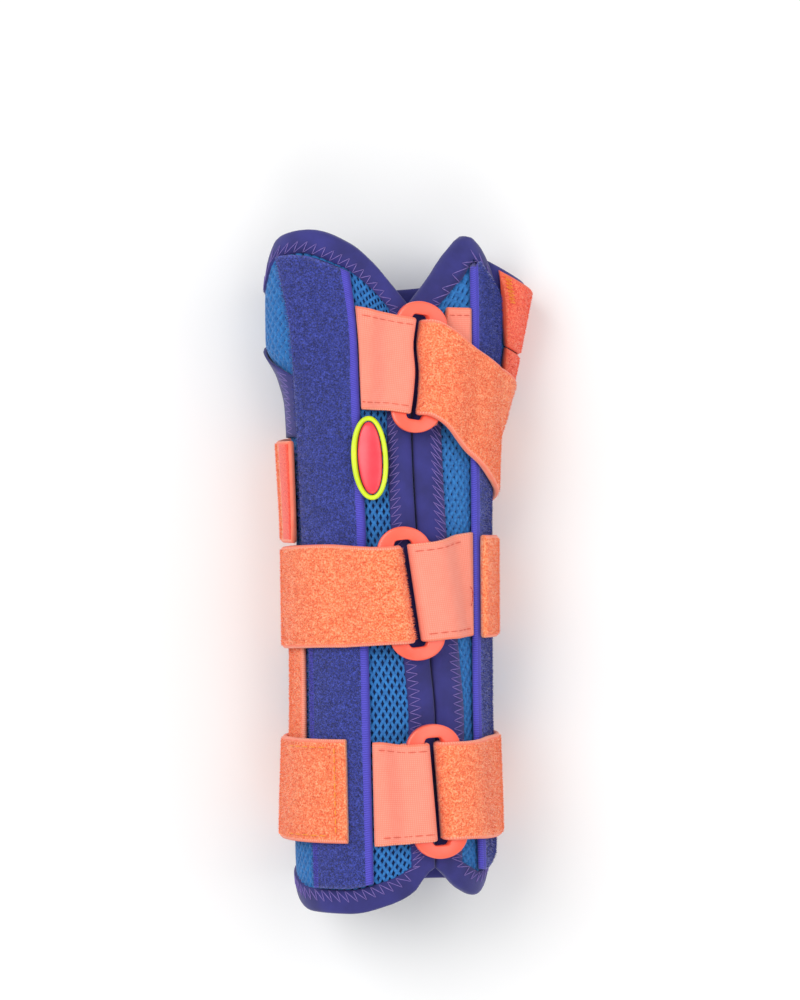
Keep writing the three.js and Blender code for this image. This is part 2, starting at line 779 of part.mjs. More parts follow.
// The height of the pile that a strap lies on at a place: one of the strips, or none on bare mesh.
// It falls between these turns, or this far past the radial strip's outer edge.
const radialPile = { past: [-24, -9], inner: [48, 62] };
const ulnarPile = { rise: [86, 100], fall: [210, 224] };
function pileUnder(turn, y) {
  const round = THREE.MathUtils.euclideanModulo(turn, 360);
  const fromSide = THREE.MathUtils.euclideanModulo(turn + 180, 360) - 180;
  const top = pileThickness + pileLift;
  const outer = smoothStep(...radialPile.past, fromSide - radialOuterTurn(y));
  const radial = outer * (1 - smoothStep(...radialPile.inner, fromSide));
  const ulnar = smoothStep(...ulnarPile.rise, round) - smoothStep(...ulnarPile.fall, round);
  return top * Math.min(1, radial + Math.max(0, ulnar));
}

// A strap or web as a sheet: it folds through its ring, comes down to the wrap and follows its course.
function foldedSheet({ course, thickness, landing, lie, columns, steps, endAt }) {
  const stations = foldStations(thickness);
  const from = ringWidth / 2 + foldOver;
  const high = ringHigh + foldClearance;
  const landingSteps = 5;
  for (let n = 1; n <= steps; n += 1) stations.push({ step: n });
  return sheetGeometry(stations.length - 1, columns, (i, j, face) => {
    const station = stations[Math.round(i * (stations.length - 1))];
    if (station.near) {
      const [past, off] = face ? station.far : station.near;
      const { turn, y } = course.at(past, (j - 0.5) * foldWidth);
      return wrapPoint(turn, y, off);
    }
    const early = Math.min(station.step, landingSteps);
    const late = (station.step - early) / (steps - landingSteps);
    const widen = early / landingSteps;
    const aside = (j - 0.5) * (foldWidth + (strapWidth - foldWidth) * widen);
    const past = from + landing * widen + (endAt(aside) - from - landing) * late;
    const { turn, y } = course.at(past, aside);
    const fall = smoothStep(0, 1, widen);
    const level = high + (lie(turn, y) - high) * fall;
    return wrapPoint(turn, y, level + (face ? thickness : 0), bridgedSwell(turn, y) * fall);
  });
}

function makeStrap(name, side) {
  const course = courseOf(name, side, strapCourses[name]);
  const geometry = foldedSheet({
    course,
    thickness: strapThickness,
    landing: strapLanding,
    lie: (turn, y) =>
      strapClearance + Math.max(pileUnder(turn, y), name === "distal" && turn > 30 ? webTop : 0),
    columns: 3,
    steps: 30,
    endAt: () => course.length,
  });
  addPiece("strap_" + name, geometry, "orangePile");
}

// A web runs from its ring straight to the edge of the nearest pile strip and stops against it.
function makeWeb(name, side, edgeTurn) {
  const frame = ringFrame(name);
  const away = Math.abs(frame.turn - edgeTurn(frame.along)) / turnOf(1, frame.along);
  const spot = frame.spot((away + strapWidth / 2) * side, 0);
  const course = courseOf(name, side, [{ turn: spot.turn, along: spot.y / halfLength }]);
  const endAt = (aside) => {
    let low = ringWidth / 2;
    let high = course.length;
    for (let n = 0; n < 24; n += 1) {
      const past = (low + high) / 2;
      const { turn, y } = course.at(past, aside);
      if (side * (turn - edgeTurn(y)) > turnOf(2 * clearance, y)) low = past;
      else high = past;
    }
    return low;
  };
  const geometry = foldedSheet({
    course,
    thickness: webThickness,
    landing: Math.max(webLandingLeast, away - ringWidth / 2 - webFlatEnd),
    lie: () => clearance + tapeProud,
    columns: 3,
    steps: 7,
    endAt,
  });
  addPiece("web_" + name, geometry, "web");
}

const ulnarEdge = (y) => ulnarStripTurn(y, "inner");

// The short web beside the distal ring, seen above the strap. Its ends are set off from the ring's middle.
const thumbWeb = { low: -2.7, high: 18.3, fromRing: 9.2 };
function makeThumbWeb() {
  const frame = ringFrame("distal");
  const geometry = sheetGeometry(4, 4, (i, j, face) => {
    const past = thumbWeb.low + (thumbWeb.high - thumbWeb.low) * j;
    const y = frame.along + past;
    const start = frame.spot(thumbWeb.fromRing, past).turn;
    const end = radialStripTurn(y) + turnOf(clearance * 2, y);
    return wrapPoint(start + (end - start) * i, y, clearance + tapeProud + (face ? webThickness : 0));
  });
  addPiece("web_thumb", geometry, "web");
}

// The thumb sleeve's two pile pieces, cut where the sleeve runs into the wrap.
const handRoomSpan = [0.29 * halfLength, 1.07 * halfLength];
const handRoomFacets = [10, 40];
const thumbPieces = {
  upper: { top: thumbStrapInset, length: upperStrapLength, from: 118, to: -110 },
  lower: { top: thumbStrapInset + clearance + upperStrapLength, length: lowerStrapLength, from: 80, to: -84 },
};
function makeThumbStrap(name) {
  const { top, length, from, to } = thumbPieces[name];
  const sheet = sheetGeometry(18, 3, (i, j, face) => {
    const angle = from + (to - from) * i;
    const high = sleeveLength - mouthShortening(angle, tapeProud) - top;
    return sleevePoint(high - length * j, angle, tapeProud + clearance + (face ? thumbStrapThickness : 0));
  });
  const handRoom = wrapPlug(...handRoomSpan, pileThickness + pileLift + clearance, ...handRoomFacets);
  const pieces = toSolid(sheet).subtract(handRoom).decompose();
  pieces.sort((a, b) => b.volume() - a.volume());
  addPiece("thumb_strap_" + name, toGeometry(pieces[0]), "thumbPile");
}

// The badge stands on the ulnar strip, across its edge. Its rim's section holds shares of the rim's width
// and thickness.
const badgeRimSection = [
  { inset: 0, high: 0 },
  { inset: 1, high: 0 },
  { inset: 1, high: 0.8 },
  { inset: 0.6, high: 1 },
  { inset: 0.3, high: 0.9 },
  { inset: 0, high: 0.4 },
];
const badgeSquare = 2.1;
function makeBadge() {
  const along = ringFrame("distal").along - badgeBehindRing;
  const tilt = badgeTilt * degree;
  const base = turnAcross(badgeAcross * handWidth, along);
  const step = turnOf(1, along);
  const foot = pileThickness + pileLift + clearance;
  const place = (share, inset, high) => {
    const { over, up } = ovalPoint(share, badgeWidth / 2 - inset, badgeLength / 2 - inset, badgeSquare);
    const turn = base - (over * Math.cos(tilt) + up * Math.sin(tilt)) * step;
    return wrapPoint(turn, along - over * Math.sin(tilt) + up * Math.cos(tilt), foot + high);
  };
  const rim = hoopGeometry(hoopSides, badgeRimSection.length, (i, j) => {
    const { inset, high } = badgeRimSection[j];
    return place(i, inset * badgeRimWidth, high * badgeRimThickness);
  });
  addPiece("badge_rim", rim, "badgeRim");
  const fieldInset = badgeRimWidth + clearance;
  const field = plugGeometry(1, hoopSides, (i, j) => place(j, fieldInset, badgeFieldThickness * i));
  addPiece("badge_field", field, "badgeField");
}

makeBody();
makeTapes();
makeSleeveTape();
makeSideTape();
makePileStrips();
for (const name of Object.keys(rings)) makeRing(name);
makeStrap("distal", 1);
makeStrap("middle", -1);
makeStrap("proximal", 1);
makeWeb("distal", -1, ulnarEdge);
makeWeb("middle", 1, radialStripTurn);
makeWeb("proximal", -1, ulnarEdge);
makeThumbWeb();
makeThumbStrap("upper");
makeThumbStrap("lower");
makeBadge();

// The origin is the middle of the underside.
const box = new THREE.Box3().setFromObject(splint);
const middle = box.getCenter(new THREE.Vector3());
splint.position.set(-middle.x, -middle.y, -box.min.z);

export default splint;
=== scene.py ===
import math

import bmesh
import bpy
import numpy as np
from mathutils import Matrix, Vector


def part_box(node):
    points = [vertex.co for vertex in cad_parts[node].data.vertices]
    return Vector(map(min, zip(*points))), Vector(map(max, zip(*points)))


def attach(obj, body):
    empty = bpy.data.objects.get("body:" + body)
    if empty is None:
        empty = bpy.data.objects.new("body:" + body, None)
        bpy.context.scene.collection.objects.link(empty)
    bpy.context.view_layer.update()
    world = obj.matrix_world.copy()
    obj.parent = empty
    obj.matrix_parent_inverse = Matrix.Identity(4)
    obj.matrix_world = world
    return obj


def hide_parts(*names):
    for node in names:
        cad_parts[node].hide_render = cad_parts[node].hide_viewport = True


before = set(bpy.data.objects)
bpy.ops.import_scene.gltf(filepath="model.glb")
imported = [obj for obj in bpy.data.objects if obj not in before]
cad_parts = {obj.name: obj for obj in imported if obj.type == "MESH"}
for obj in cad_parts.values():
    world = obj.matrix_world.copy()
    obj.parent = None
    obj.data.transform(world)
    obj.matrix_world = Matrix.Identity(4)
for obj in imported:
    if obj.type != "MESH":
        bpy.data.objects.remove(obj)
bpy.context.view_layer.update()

# A thumb spica splint, palmar side down. Lengths are millimetres until a point is handed to Blender.
# +Y runs to the distal end and +X to the radial side. A turn is an angle round the wrap in degrees:
# 0 on the radial side, 90 on top, 180 on the ulnar side and 270 underneath.
floorLift = 1000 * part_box("body_mesh")[0].z  # how high the wrap's underside lies
weldDistance = 2e-5  # metres

wrap = {
    "length": 206,
    "width": 71,
    "depth": 50,
    "wall": 3,
    "flattening": 2.5,  # how much of its depth the flat underside cuts off
    "softness": 0.7,  # of the turn into the underside
    "seamGap": 0.6,
    "girth": 165,  # of the flat pattern
    # at along from the middle, then wide, shift, deep and square, as in the solids
    "sections": [
        (0.5, 0.912, -0.087, 0.73, 2.6),
        (0.447, 0.968, -0.082, 0.75, 2.6),
        (0.393, 1.004, -0.075, 0.76, 2.6),
        (0.335, 1.001, -0.074, 0.78, 2.6),
        (0.282, 0.912, -0.047, 0.82, 2.5),
        (0.243, 0.861, -0.042, 0.85, 2.5),
        (0.204, 0.843, -0.043, 0.88, 2.4),
        (0.029, 0.805, -0.036, 0.93, 2.3),
        (-0.189, 0.8, -0.031, 0.98, 2.3),
        (-0.408, 0.828, -0.029, 1.0, 2.3),
        (-0.5, 0.795, -0.03, 1.0, 2.3),
    ],
    # at along from the middle, and across as a share of the width
    "seam": [
        (0.5, 0.05), (0.39, 0.05), (0.2, 0.063), (0.06, 0.084),
        (-0.13, 0.143), (-0.22, 0.165), (-0.5, 0.165),
    ],
    "evenRows": 0.6,  # share of the length where rows lie straight; past it they bend into the end's line
    # share round from the seam's radial side, and reach as a share of half the length
    "distalEdge": [
        (0, 0.777), (0.039, 0.85), (0.072, 0.931), (0.106, 0.984), (0.128, 0.96), (0.164, 0.896),
        (0.261, 0.86), (0.428, 0.84), (0.594, 0.86), (0.678, 0.905), (0.725, 0.985), (0.775, 1.0),
        (0.853, 0.96), (0.919, 0.896), (0.967, 0.829), (1, 0.777),
    ],
    "proximalEdge": [
        (0, -0.864), (0.014, -0.883), (0.044, -0.927), (0.094, -0.956), (0.167, -0.927), (0.25, -0.942),
        (0.417, -0.951), (0.583, -0.951), (0.667, -0.966), (0.758, -1.0), (0.842, -0.998),
        (0.914, -0.971), (0.961, -0.934), (0.986, -0.881), (1, -0.864),
    ],
}
tape = {
    "width": 6.3,
    "shown": 7.2,  # with its soft margin
    "shownSeam": 8.2,  # it is pulled a little wider along the seam
    "proud": 0.6,
    "gap": 0.6,
    "cut": 16.5,  # its flat width, folded round the 3 mm wall
    "tuck": 0.9,
    "overMesh": 2.5,  # how far the mesh runs in under it
    "seamFade": (4, 16),  # from the ends of the seam, where it widens
    "mostStretch": 1.75,
    "foldSquare": 3.4,
    "foldSteps": 15,
    "cells": 400,
    "sleeveCells": 72,
    "zigzagPitch": 2.7,
    "zigzagDepth": 3.6,
    "thread": 0.14,
    "threadLift": 0.08,
}
overTape = tape["proud"] + 0.3  # where a piece that crosses the tape lies
sleeve = {
    "length": 58,
    "diameter": 24.4,
    "lean": 13.7,
    "slant": 14.9,
    "tip": (29.5, 93.3),
    "rest": 0.6,
    "freeFrom": 72,  # at along; past it the sleeve stands free of the wrap
    # share along the sleeve and share of its diameter
    "swell": [(0, 0.56), (0.22, 0.93), (0.4, 1.0), (0.7, 0.95), (1, 0.885)],
}
pile = {"thickness": 1.8, "lift": 0.6, "rooted": 0.1, "floor": 0.05}
halfLength = wrap["length"] / 2


# Monotone cubic reading of one column of a table
def follow(table, column, value):
    rows = np.array(sorted(table), float)
    keys = rows[:, 0]
    values = rows[:, column]
    slope = np.diff(values) / np.diff(keys)
    before = np.r_[slope[0], slope]
    after = np.r_[slope, slope[-1]]
    alike = before * after > 0
    knot = np.where(alike, 2 * before * after / np.where(alike, before + after, 1), 0)
    n = np.clip(np.searchsorted(keys, value, side="right") - 1, 0, len(keys) - 2)
    span = keys[n + 1] - keys[n]
    t = np.clip((value - keys[n]) / span, 0, 1)
    blend = t * t * (3 - 2 * t)
    bow = span * t * (1 - t) * ((1 - t) * knot[n] - t * knot[n + 1])
    return values[n] * (1 - blend) + values[n + 1] * blend + bow


def smoothStep(low, high, value):
    t = np.clip((value - low) / (high - low), 0, 1)
    return t * t * (3 - 2 * t)


def sectionAt(y):
    at = np.asarray(y, float) / wrap["length"]
    rise = (follow(wrap["sections"], 3, at) * wrap["depth"] + wrap["flattening"]) / 2
    return {
        "centre": follow(wrap["sections"], 2, at) * wrap["width"],
        "half": follow(wrap["sections"], 1, at) * wrap["width"] / 2,
        "rise": rise,
        "middle": rise - wrap["flattening"],
        "power": follow(wrap["sections"], 4, at),
    }


def sectionRadius(section, turn, off):
    across = np.abs(np.cos(np.radians(turn)) / (section["half"] + off))
    up = np.abs(np.sin(np.radians(turn)) / (section["rise"] + off))
    return (across ** section["power"] + up ** section["power"]) ** (-1 / section["power"])


# A point off the wrap's outer face; the underside is flat, with a soft turn into it
def wrapPoint(turn, y, off, swell=0):
    section = sectionAt(y)
    radius = sectionRadius(section, turn, off + swell)
    x = section["centre"] + radius * np.cos(np.radians(turn))
    z = section["middle"] + radius * np.sin(np.radians(turn))
    z = (z - off + np.sqrt((z + off) ** 2 + wrap["softness"] ** 2)) / 2
    return np.stack(np.broadcast_arrays(x, y, z), axis=-1)


def turnAcross(x, y, off=0):
    low = np.zeros(np.broadcast(x, y).shape)
    high = low + 180
    for _ in range(30):
        middle = (low + high) / 2
        beyond = wrapPoint(middle, y, off)[..., 0] > x
        low = np.where(beyond, middle, low)
        high = np.where(beyond, high, middle)
    return (low + high) / 2


# The turn where a column of a table, at along and shares of the width, crosses the top of the wrap
def acrossTurn(table, column, y):
    return turnAcross(follow(table, column, np.asarray(y) / wrap["length"]) * wrap["width"], y)


def girth(y):
    section = sectionAt(y)
    half, rise = section["half"], section["rise"]
    return np.pi * (3 * (half + rise) - np.sqrt((3 * half + rise) * (half + 3 * rise)))


def turnOf(length, y):
    return length / girth(y) * 360


def seamTurn(y):
    return acrossTurn(wrap["seam"], 1, y)


def rowPlace(along, start, end):
    free = halfLength * wrap["evenRows"]
    band = tape["width"] + tape["gap"]
    reference = (2 * along - 1) * halfLength
    ahead = halfLength - np.abs(reference)
    edge = np.where(reference > 0, end, -start)
    reach = np.abs(reference)
    drawn = free + (reach - free) / (halfLength - band - free) * (edge - band - free)
    reach = np.where(ahead < band, edge - ahead, np.where(reach > free, drawn, reach))
    return np.sign(reference) * reach


def wrapPlace(around, along):
    start = follow(wrap["proximalEdge"], 1, around) * halfLength
    end = follow(wrap["distalEdge"], 1, around) * halfLength
    y = rowPlace(along, start, end)
    seamHalf = turnOf(wrap["seamGap"] / 2, y)
    return seamTurn(y) - seamHalf - around * (360 - 2 * seamHalf), y


def sleeveRadius(along):
    return follow(sleeve["swell"], 1, along / sleeve["length"]) * sleeve["diameter"] / 2


# A point off the sleeve: angle 0 on its outer side and 90 on top
def sleevePoint(along, angle, off):
    lean = math.radians(sleeve["lean"])
    radius = sleeveRadius(along) + off
    outward = radius * np.cos(np.radians(angle))
    back = sleeve["length"] - along
    x = sleeve["tip"][0] - back * math.sin(lean) + outward * math.cos(lean)
    y = sleeve["tip"][1] - back * math.cos(lean) - outward * math.sin(lean)
    z = sleeve["rest"] + sleeveRadius(along) + radius * np.sin(np.radians(angle))
    return np.stack(np.broadcast_arrays(x, y, z), axis=-1)


def mouthShortening(angle, off):
    slant = math.tan(math.radians(sleeve["slant"]))
    return (sleeveRadius(sleeve["length"]) + off) * np.cos(np.radians(angle)) * slant


# How far a point lies outside the sleeve's outer face, or less than nothing within it
def pastSleeve(points):
    lean = math.radians(sleeve["lean"])
    across = points[..., 0] - sleeve["tip"][0]
    ahead = points[..., 1] - sleeve["tip"][1]
    along = sleeve["length"] + across * math.sin(lean) + ahead * math.cos(lean)
    aside = across * math.cos(lean) - ahead * math.sin(lean)
    high = points[..., 2] - sleeve["rest"] - sleeveRadius(along)
    past = np.hypot(aside, high) - sleeveRadius(along)
    return np.where((along < 0) | (along > sleeve["length"] + 4), 99, past)


# How far a point lies outside the wrap's outer face
def pastWrap(points):
    section = sectionAt(points[..., 1])
    across = points[..., 0] - section["centre"]
    up = points[..., 2] - section["middle"]
    turn = np.degrees(np.arctan2(up, across))
    return np.hypot(across, up) - sectionRadius(section, turn, 0)


# How far the sleeve stands out of the wrap along a ray from the middle of the section
def sleeveSwellAt(turn, y):
    section = sectionAt(y)
    lean = math.radians(sleeve["lean"])
    along = sleeve["length"] - (sleeve["tip"][1] - y) / math.cos(lean)
    radius = sleeveRadius(along)
    x = sleeve["tip"][0] - (sleeve["tip"][1] - y) * math.tan(lean) - section["centre"]
    z = sleeve["rest"] + radius - section["middle"]
    near = x * np.cos(np.radians(turn)) + z * np.sin(np.radians(turn))
    inside = near ** 2 - (x ** 2 + z ** 2 - radius ** 2)
    met = (inside > 0) & (near > 0) & (along > 0) & (along < sleeve["length"])
    out = near + np.sqrt(np.maximum(inside, 0)) - sectionRadius(section, turn, 0)
    return np.where(met, np.maximum(out, 0), 0)


# A strap bridges the sleeve's base, so it stands off by the largest swell near a place. What is further
# off, in degrees or millimetres, counts for less
bridge = {"turn": 12, "along": 4, "turnLoss": 0.25, "alongLoss": 0.15}


def bridgedSwell(turn, y):
    most = 0
    for aside in (-1, -0.5, 0, 0.5, 1):
        for ahead in (-1, 0, 1):
            turned, moved = aside * bridge["turn"], ahead * bridge["along"]
            nearness = 1 - abs(aside) * bridge["turnLoss"] - abs(ahead) * bridge["alongLoss"]
            most = np.maximum(most, sleeveSwellAt(turn + turned, y + moved) * nearness)
    return most


def toWorld(points):
    return (np.asarray(points) + (0, 0, floorLift)) / 1000


def linear(code):
    parts = [int(code[n:n + 2], 16) / 255 for n in (1, 3, 5)]
    return tuple(p / 12.92 if p <= 0.04045 else ((p + 0.055) / 1.055) ** 2.4 for p in parts) + (1,)


def addNode(tree, kind, inputs=None, links=None, **settings):
    made = tree.nodes.new(kind)
    for name, value in settings.items():
        setattr(made, name, value)
    for name, value in (inputs or {}).items():
        made.inputs[name].default_value = value
    for name, source in (links or {}).items():
        tree.links.new(source, made.inputs[name])
    return made


def newMaterial(name, shine):
    material = bpy.data.materials.new(name)
    material.use_nodes = True
    tree = material.node_tree
    tree.nodes.clear()
    surface = addNode(tree, "ShaderNodeBsdfPrincipled", inputs=shine)
    addNode(tree, "ShaderNodeOutputMaterial", links={"Surface": surface.outputs["BSDF"]})
    return material, tree, surface


# Colours a surface by stops along one pattern and raises it by another
def dressSurface(tree, surface, pattern, stops, relief, strength, depth):
    ramp = addNode(tree, "ShaderNodeValToRGB", links={"Fac": pattern})
    first, *between, last = stops
    elements = ramp.color_ramp.elements
    for element, (position, code) in zip(elements, (first, last)):
        element.position = position
        element.color = linear(code)
    for position, code in between:
        elements.new(position).color = linear(code)
    bump = addNode(
        tree, "ShaderNodeBump", {"Strength": strength, "Distance": depth / 1000}, {"Height": relief}
    )
    tree.links.new(ramp.outputs["Color"], surface.inputs["Base Color"])
    tree.links.new(bump.outputs["Normal"], surface.inputs["Normal"])


# Brushed loop pile, polyamide: tufts in clumps, lighter where they catch the light
def makePile(name, deep, middle, light, clump=1.3, tuft=0.5):
    shine = {"Roughness": 0.95, "Sheen Weight": 0.35, "Sheen Roughness": 0.6}
    material, tree, surface = newMaterial(name, shine)
    place = addNode(tree, "ShaderNodeTexCoord").outputs["Object"]
    clumps = addNode(tree, "ShaderNodeTexNoise", {"Scale": 1000 / clump, "Detail": 2.0}, {"Vector": place})
    tufts = addNode(tree, "ShaderNodeTexNoise", {"Scale": 1000 / tuft, "Detail": 3.0}, {"Vector": place})
    both = addNode(
        tree, "ShaderNodeMath", {1: 0.3}, {0: clumps.outputs["Fac"], 2: tufts.outputs["Fac"]},
        operation="MULTIPLY_ADD",
    )
    stops = [(0.5, deep), (0.64, middle), (0.8, light)]
    dressSurface(tree, surface, both.outputs[0], stops, both.outputs[0], 0.6, 0.4)
    return material


# Cloth with threads across and along, on the piece's own map in millimetres
def makeWoven(name, deep, light, across, along, depth, shine):
    material, tree, surface = newMaterial(name, shine)
    flat = addNode(tree, "ShaderNodeUVMap", uv_map="cloth").outputs["UV"]
    bands = 0.314  # a wave texture of scale 1 has this period
    patch = 3.0  # millimetres between lighter and darker places
    weft = addNode(
        tree, "ShaderNodeTexWave", {"Scale": bands / across}, {"Vector": flat}, bands_direction="X"
    )
    warp = addNode(
        tree, "ShaderNodeTexWave", {"Scale": bands / along}, {"Vector": flat}, bands_direction="Y"
    )
    crossing = {0: weft.outputs["Fac"], 1: warp.outputs["Fac"]}
    both = addNode(tree, "ShaderNodeMath", links=crossing, operation="MULTIPLY")
    place = addNode(tree, "ShaderNodeTexCoord").outputs["Object"]
    uneven = addNode(tree, "ShaderNodeTexNoise", {"Scale": 1000 / patch, "Detail": 3.0}, {"Vector": place})
    mixed = addNode(
        tree, "ShaderNodeMath", {1: 0.35}, {0: uneven.outputs["Fac"], 2: both.outputs[0]},
        operation="MULTIPLY_ADD",
    )
    stops = [(0.1, deep), (0.75, light)]
    dressSurface(tree, surface, mixed.outputs[0], stops, both.outputs[0], 0.6, depth)
    return material


# A smooth finish whose colour and gloss wander a little
def makeSmooth(name, deep, light, patch, grain, depth, shine):
    material, tree, surface = newMaterial(name, shine)
    place = addNode(tree, "ShaderNodeTexCoord").outputs["Object"]
    wander = addNode(tree, "ShaderNodeTexNoise", {"Scale": 1000 / patch, "Detail": 4.0}, {"Vector": place})
    fine = addNode(tree, "ShaderNodeTexNoise", {"Scale": 1000 / grain, "Detail": 2.0}, {"Vector": place})
    stops = [(0.3, deep), (0.7, light)]
    dressSurface(tree, surface, wander.outputs["Fac"], stops, fine.outputs["Fac"], 0.4, depth)
    return material


print("materials")
cloth = {"Roughness": 0.8, "Sheen Weight": 0.15}
plastic = {"Roughness": 0.28, "IOR": 1.5}
finishes = {
    # Warp-knitted polyester spacer fabric: bright strands round open cells
    "spacerMesh": makeSmooth("spacerMeshKnit", "#185a9e", "#2b82cc", 0.9, 0.3, 0.25, cloth),
    # The floors of the spacer mesh's open cells are painted shade: a dark navy that stands in for the
    # shade down in each hole
    "paintedHoleShade": makeSmooth("spacerMeshPaintedShade", "#0a1c40", "#12305f", 1.5, 0.5, 0.1, {"Roughness": 0.95}),
    # Brushed polyester lining: matt, with low ribs
    "lining": makeWoven("brushedLiningKnit", "#18508c", "#2a74b8", 1.6, 1.2, 0.3, cloth),
    # Lycra-faced binding folded over the edge: smooth, with a faint nap
    "edgeTape": makeSmooth("edgeTapeLycra", "#252468", "#313082", 7.0, 0.3, 0.1, cloth),
    # Brushed loop pile has woven selvages: fine ribs across them, with no tufts
    "bluePile": makePile("bluePileLoop", "#141f66", "#26348f", "#4452ba"),
    "blueSelvage": makeWoven("blueSelvageWoven", "#3a35a2", "#5650cc", 5.0, 0.75, 0.25, cloth),
    "orangePile": makePile("orangePileLoop", "#ec6636", "#ff8a54", "#ffb486"),
    "thumbPile": makePile("redOrangePileLoop", "#ea4a2c", "#ff6846", "#ff9068", 1.2, 0.5),
    "thumbSelvage": makeWoven("thumbSelvageWoven", "#e84c30", "#ff7658", 2.0, 0.6, 0.15, cloth),
    "strapSelvage": makeWoven("strapSelvageWoven", "#f8785c", "#ffa88c", 2.0, 0.6, 0.15, cloth),
    # Plain woven polyester webbing; its threads are drawn coarser than the real 0.3 mm, to show
    "wovenWeb": makeWoven("salmonWebWoven", "#fa866f", "#ffa08a", 0.62, 0.5, 0.1, cloth),
    # Injection-moulded polyacetal: even colour and a soft gloss
    "ringPlastic": makeSmooth("ringAcetalMoulded", "#ff5e46", "#ff7058", 12.0, 0.6, 0.02, plastic),
    # Hook tape of moulded polyamide: short stiff hooks, redder and shinier than the pile
    "hookFace": makePile("hookTapeMoulded", "#e83018", "#ff4426", "#ff6a48", 0.9, 0.4),
    # Spun polyester thread: dull, and a little uneven
    "mauveThread": makeSmooth("mauveThreadPolyester", "#6c58a8", "#8a76c0", 1.0, 0.2, 0.05, cloth),
    "orangeThread": makeSmooth("orangeThreadPolyester", "#f08a1c", "#ffa030", 1.0, 0.2, 0.05, cloth),
    "salmonThread": makeSmooth("salmonThreadPolyester", "#dc6048", "#ec7058", 1.0, 0.2, 0.05, cloth),
    "redThread": makeSmooth("redThreadPolyester", "#a02020", "#c83030", 1.0, 0.2, 0.05, cloth),
    # Soft moulded rubber: even colour and a soft gloss
    "badgeRim": makeSmooth("badgeRimRubber", "#c8e000", "#e0f828", 8.0, 0.5, 0.02, plastic),
    "badgeField": makeSmooth("badgeFieldRubber", "#ee3244", "#fc4a58", 8.0, 0.5, 0.02, plastic),
}


def markCloth(bm):
    layer = bm.loops.layers.uv.new("cloth")
    for face in bm.faces:
        for loop in face.loops:
            loop[layer].uv = loop.vert.co.xy


# A flat pattern of cells, with its map in millimetres
def flatPattern(columns, rows):
    bm = bmesh.new()
    bmesh.ops.create_grid(bm, x_segments=len(columns) - 1, y_segments=len(rows) - 1, size=0.5)
    bm.verts.ensure_lookup_table()
    for vert in bm.verts:
        vert.co.x = columns[round((vert.co.x + 0.5) * (len(columns) - 1))]
        vert.co.y = rows[round((vert.co.y + 0.5) * (len(rows) - 1))]
    markCloth(bm)
    return bm


def evenPattern(width, length, across, down):
    return flatPattern(np.linspace(0, width, across + 1), np.linspace(0, length, down + 1))


def shape(bm, place):
    flat = np.array([vert.co[:] for vert in bm.verts])
    for vert, point in zip(bm.verts, toWorld(place(*flat.T))):
        vert.co = point


def sew(bm, closed=True):
    bmesh.ops.remove_doubles(bm, verts=bm.verts[:], dist=weldDistance)
    if closed:
        bmesh.ops.holes_fill(bm, edges=bm.edges[:], sides=0)
    bmesh.ops.recalc_face_normals(bm, faces=bm.faces[:])


def addPiece(name, mesh):
    piece = bpy.data.objects.new(name, mesh)
    bpy.context.scene.collection.objects.link(piece)
    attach(piece, "root")
    return piece


def finishPiece(bm, name, finish, replaced=()):
    mesh = bpy.data.meshes.new(name)
    bm.to_mesh(mesh)
    bm.free()
    for key in finish:
        mesh.materials.append(finishes[key])
    mesh.shade_smooth()
    piece = addPiece(name, mesh)
    if replaced:
        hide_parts(*replaced)
    return piece


# One stitch: a thin spindle of thread from point to point
def addStitch(bm, start, end, radius):
    start, end = Vector(start), Vector(end)
    turned = (end - start).to_track_quat("Z", "Y").to_matrix().to_4x4()
    shaped = Matrix.Diagonal((radius, radius, (end - start).length / 2, 1))
    bmesh.ops.create_uvsphere(
        bm, u_segments=6, v_segments=5, radius=1,
        matrix=Matrix.Translation((start + end) / 2) @ turned @ shaped,
    )


def addThread(bm, places, radius):
    spots = toWorld(places)
    for start, end in zip(spots, spots[1:]):
        addStitch(bm, start, end, radius / 1000)


# The wrap's spacer mesh: a lattice of open diamond cells over a lining
knit = {
    "across": 2.4, "along": 3.6, "strand": 0.56, "dip": -0.12, "lip": 0.14, "hole": -0.75,
    "wrapLining": (110, 103),  # cells across and along
    "sleeveLining": (48, 29),
}


def meshPanel(width, length):
    count = math.ceil(width / knit["across"] + length / knit["along"]) + 2
    bm = bmesh.new()
    bmesh.ops.create_grid(bm, x_segments=count, y_segments=count, size=count / 2)
    bmesh.ops.rotate(bm, verts=bm.verts[:], cent=(0, 0, 0), matrix=Matrix.Rotation(math.pi / 4, 3, "Z"))
    diagonal = math.sqrt(2)
    bmesh.ops.scale(bm, verts=bm.verts[:], vec=(knit["across"] / diagonal, knit["along"] / diagonal, 1))
    bmesh.ops.translate(bm, verts=bm.verts[:], vec=(width / 2, length / 2, 0))
    for corner, way in (((0, 0, 0), (-1, 0, 0)), ((0, 0, 0), (0, -1, 0)),
                        ((width, length, 0), (1, 0, 0)), ((width, length, 0), (0, 1, 0))):
        everything = bm.verts[:] + bm.edges[:] + bm.faces[:]
        bmesh.ops.bisect_plane(bm, geom=everything, plane_co=corner, plane_no=way, clear_outer=True)
    whole = 0.98 * knit["across"] * knit["along"] / 2
    cells = [face for face in bm.faces if face.calc_area() > whole]
    bmesh.ops.inset_individual(bm, faces=cells, thickness=knit["strand"], depth=knit["dip"])
    bmesh.ops.inset_individual(bm, faces=cells, thickness=knit["lip"], depth=knit["hole"])
    # the floor of each cell takes the second finish, painted shade for the shade down in the hole
    for face in cells:
        face.material_index = 1
    markCloth(bm)
    return bm


def dropFaces(bm, isLost):
    middles = np.array([face.calc_center_median()[:] for face in bm.faces]) * 1000 - (0, 0, floorLift)
    lost = [face for face, gone in zip(bm.faces[:], isLost(middles)) if gone]
    bmesh.ops.delete(bm, geom=lost, context="FACES")


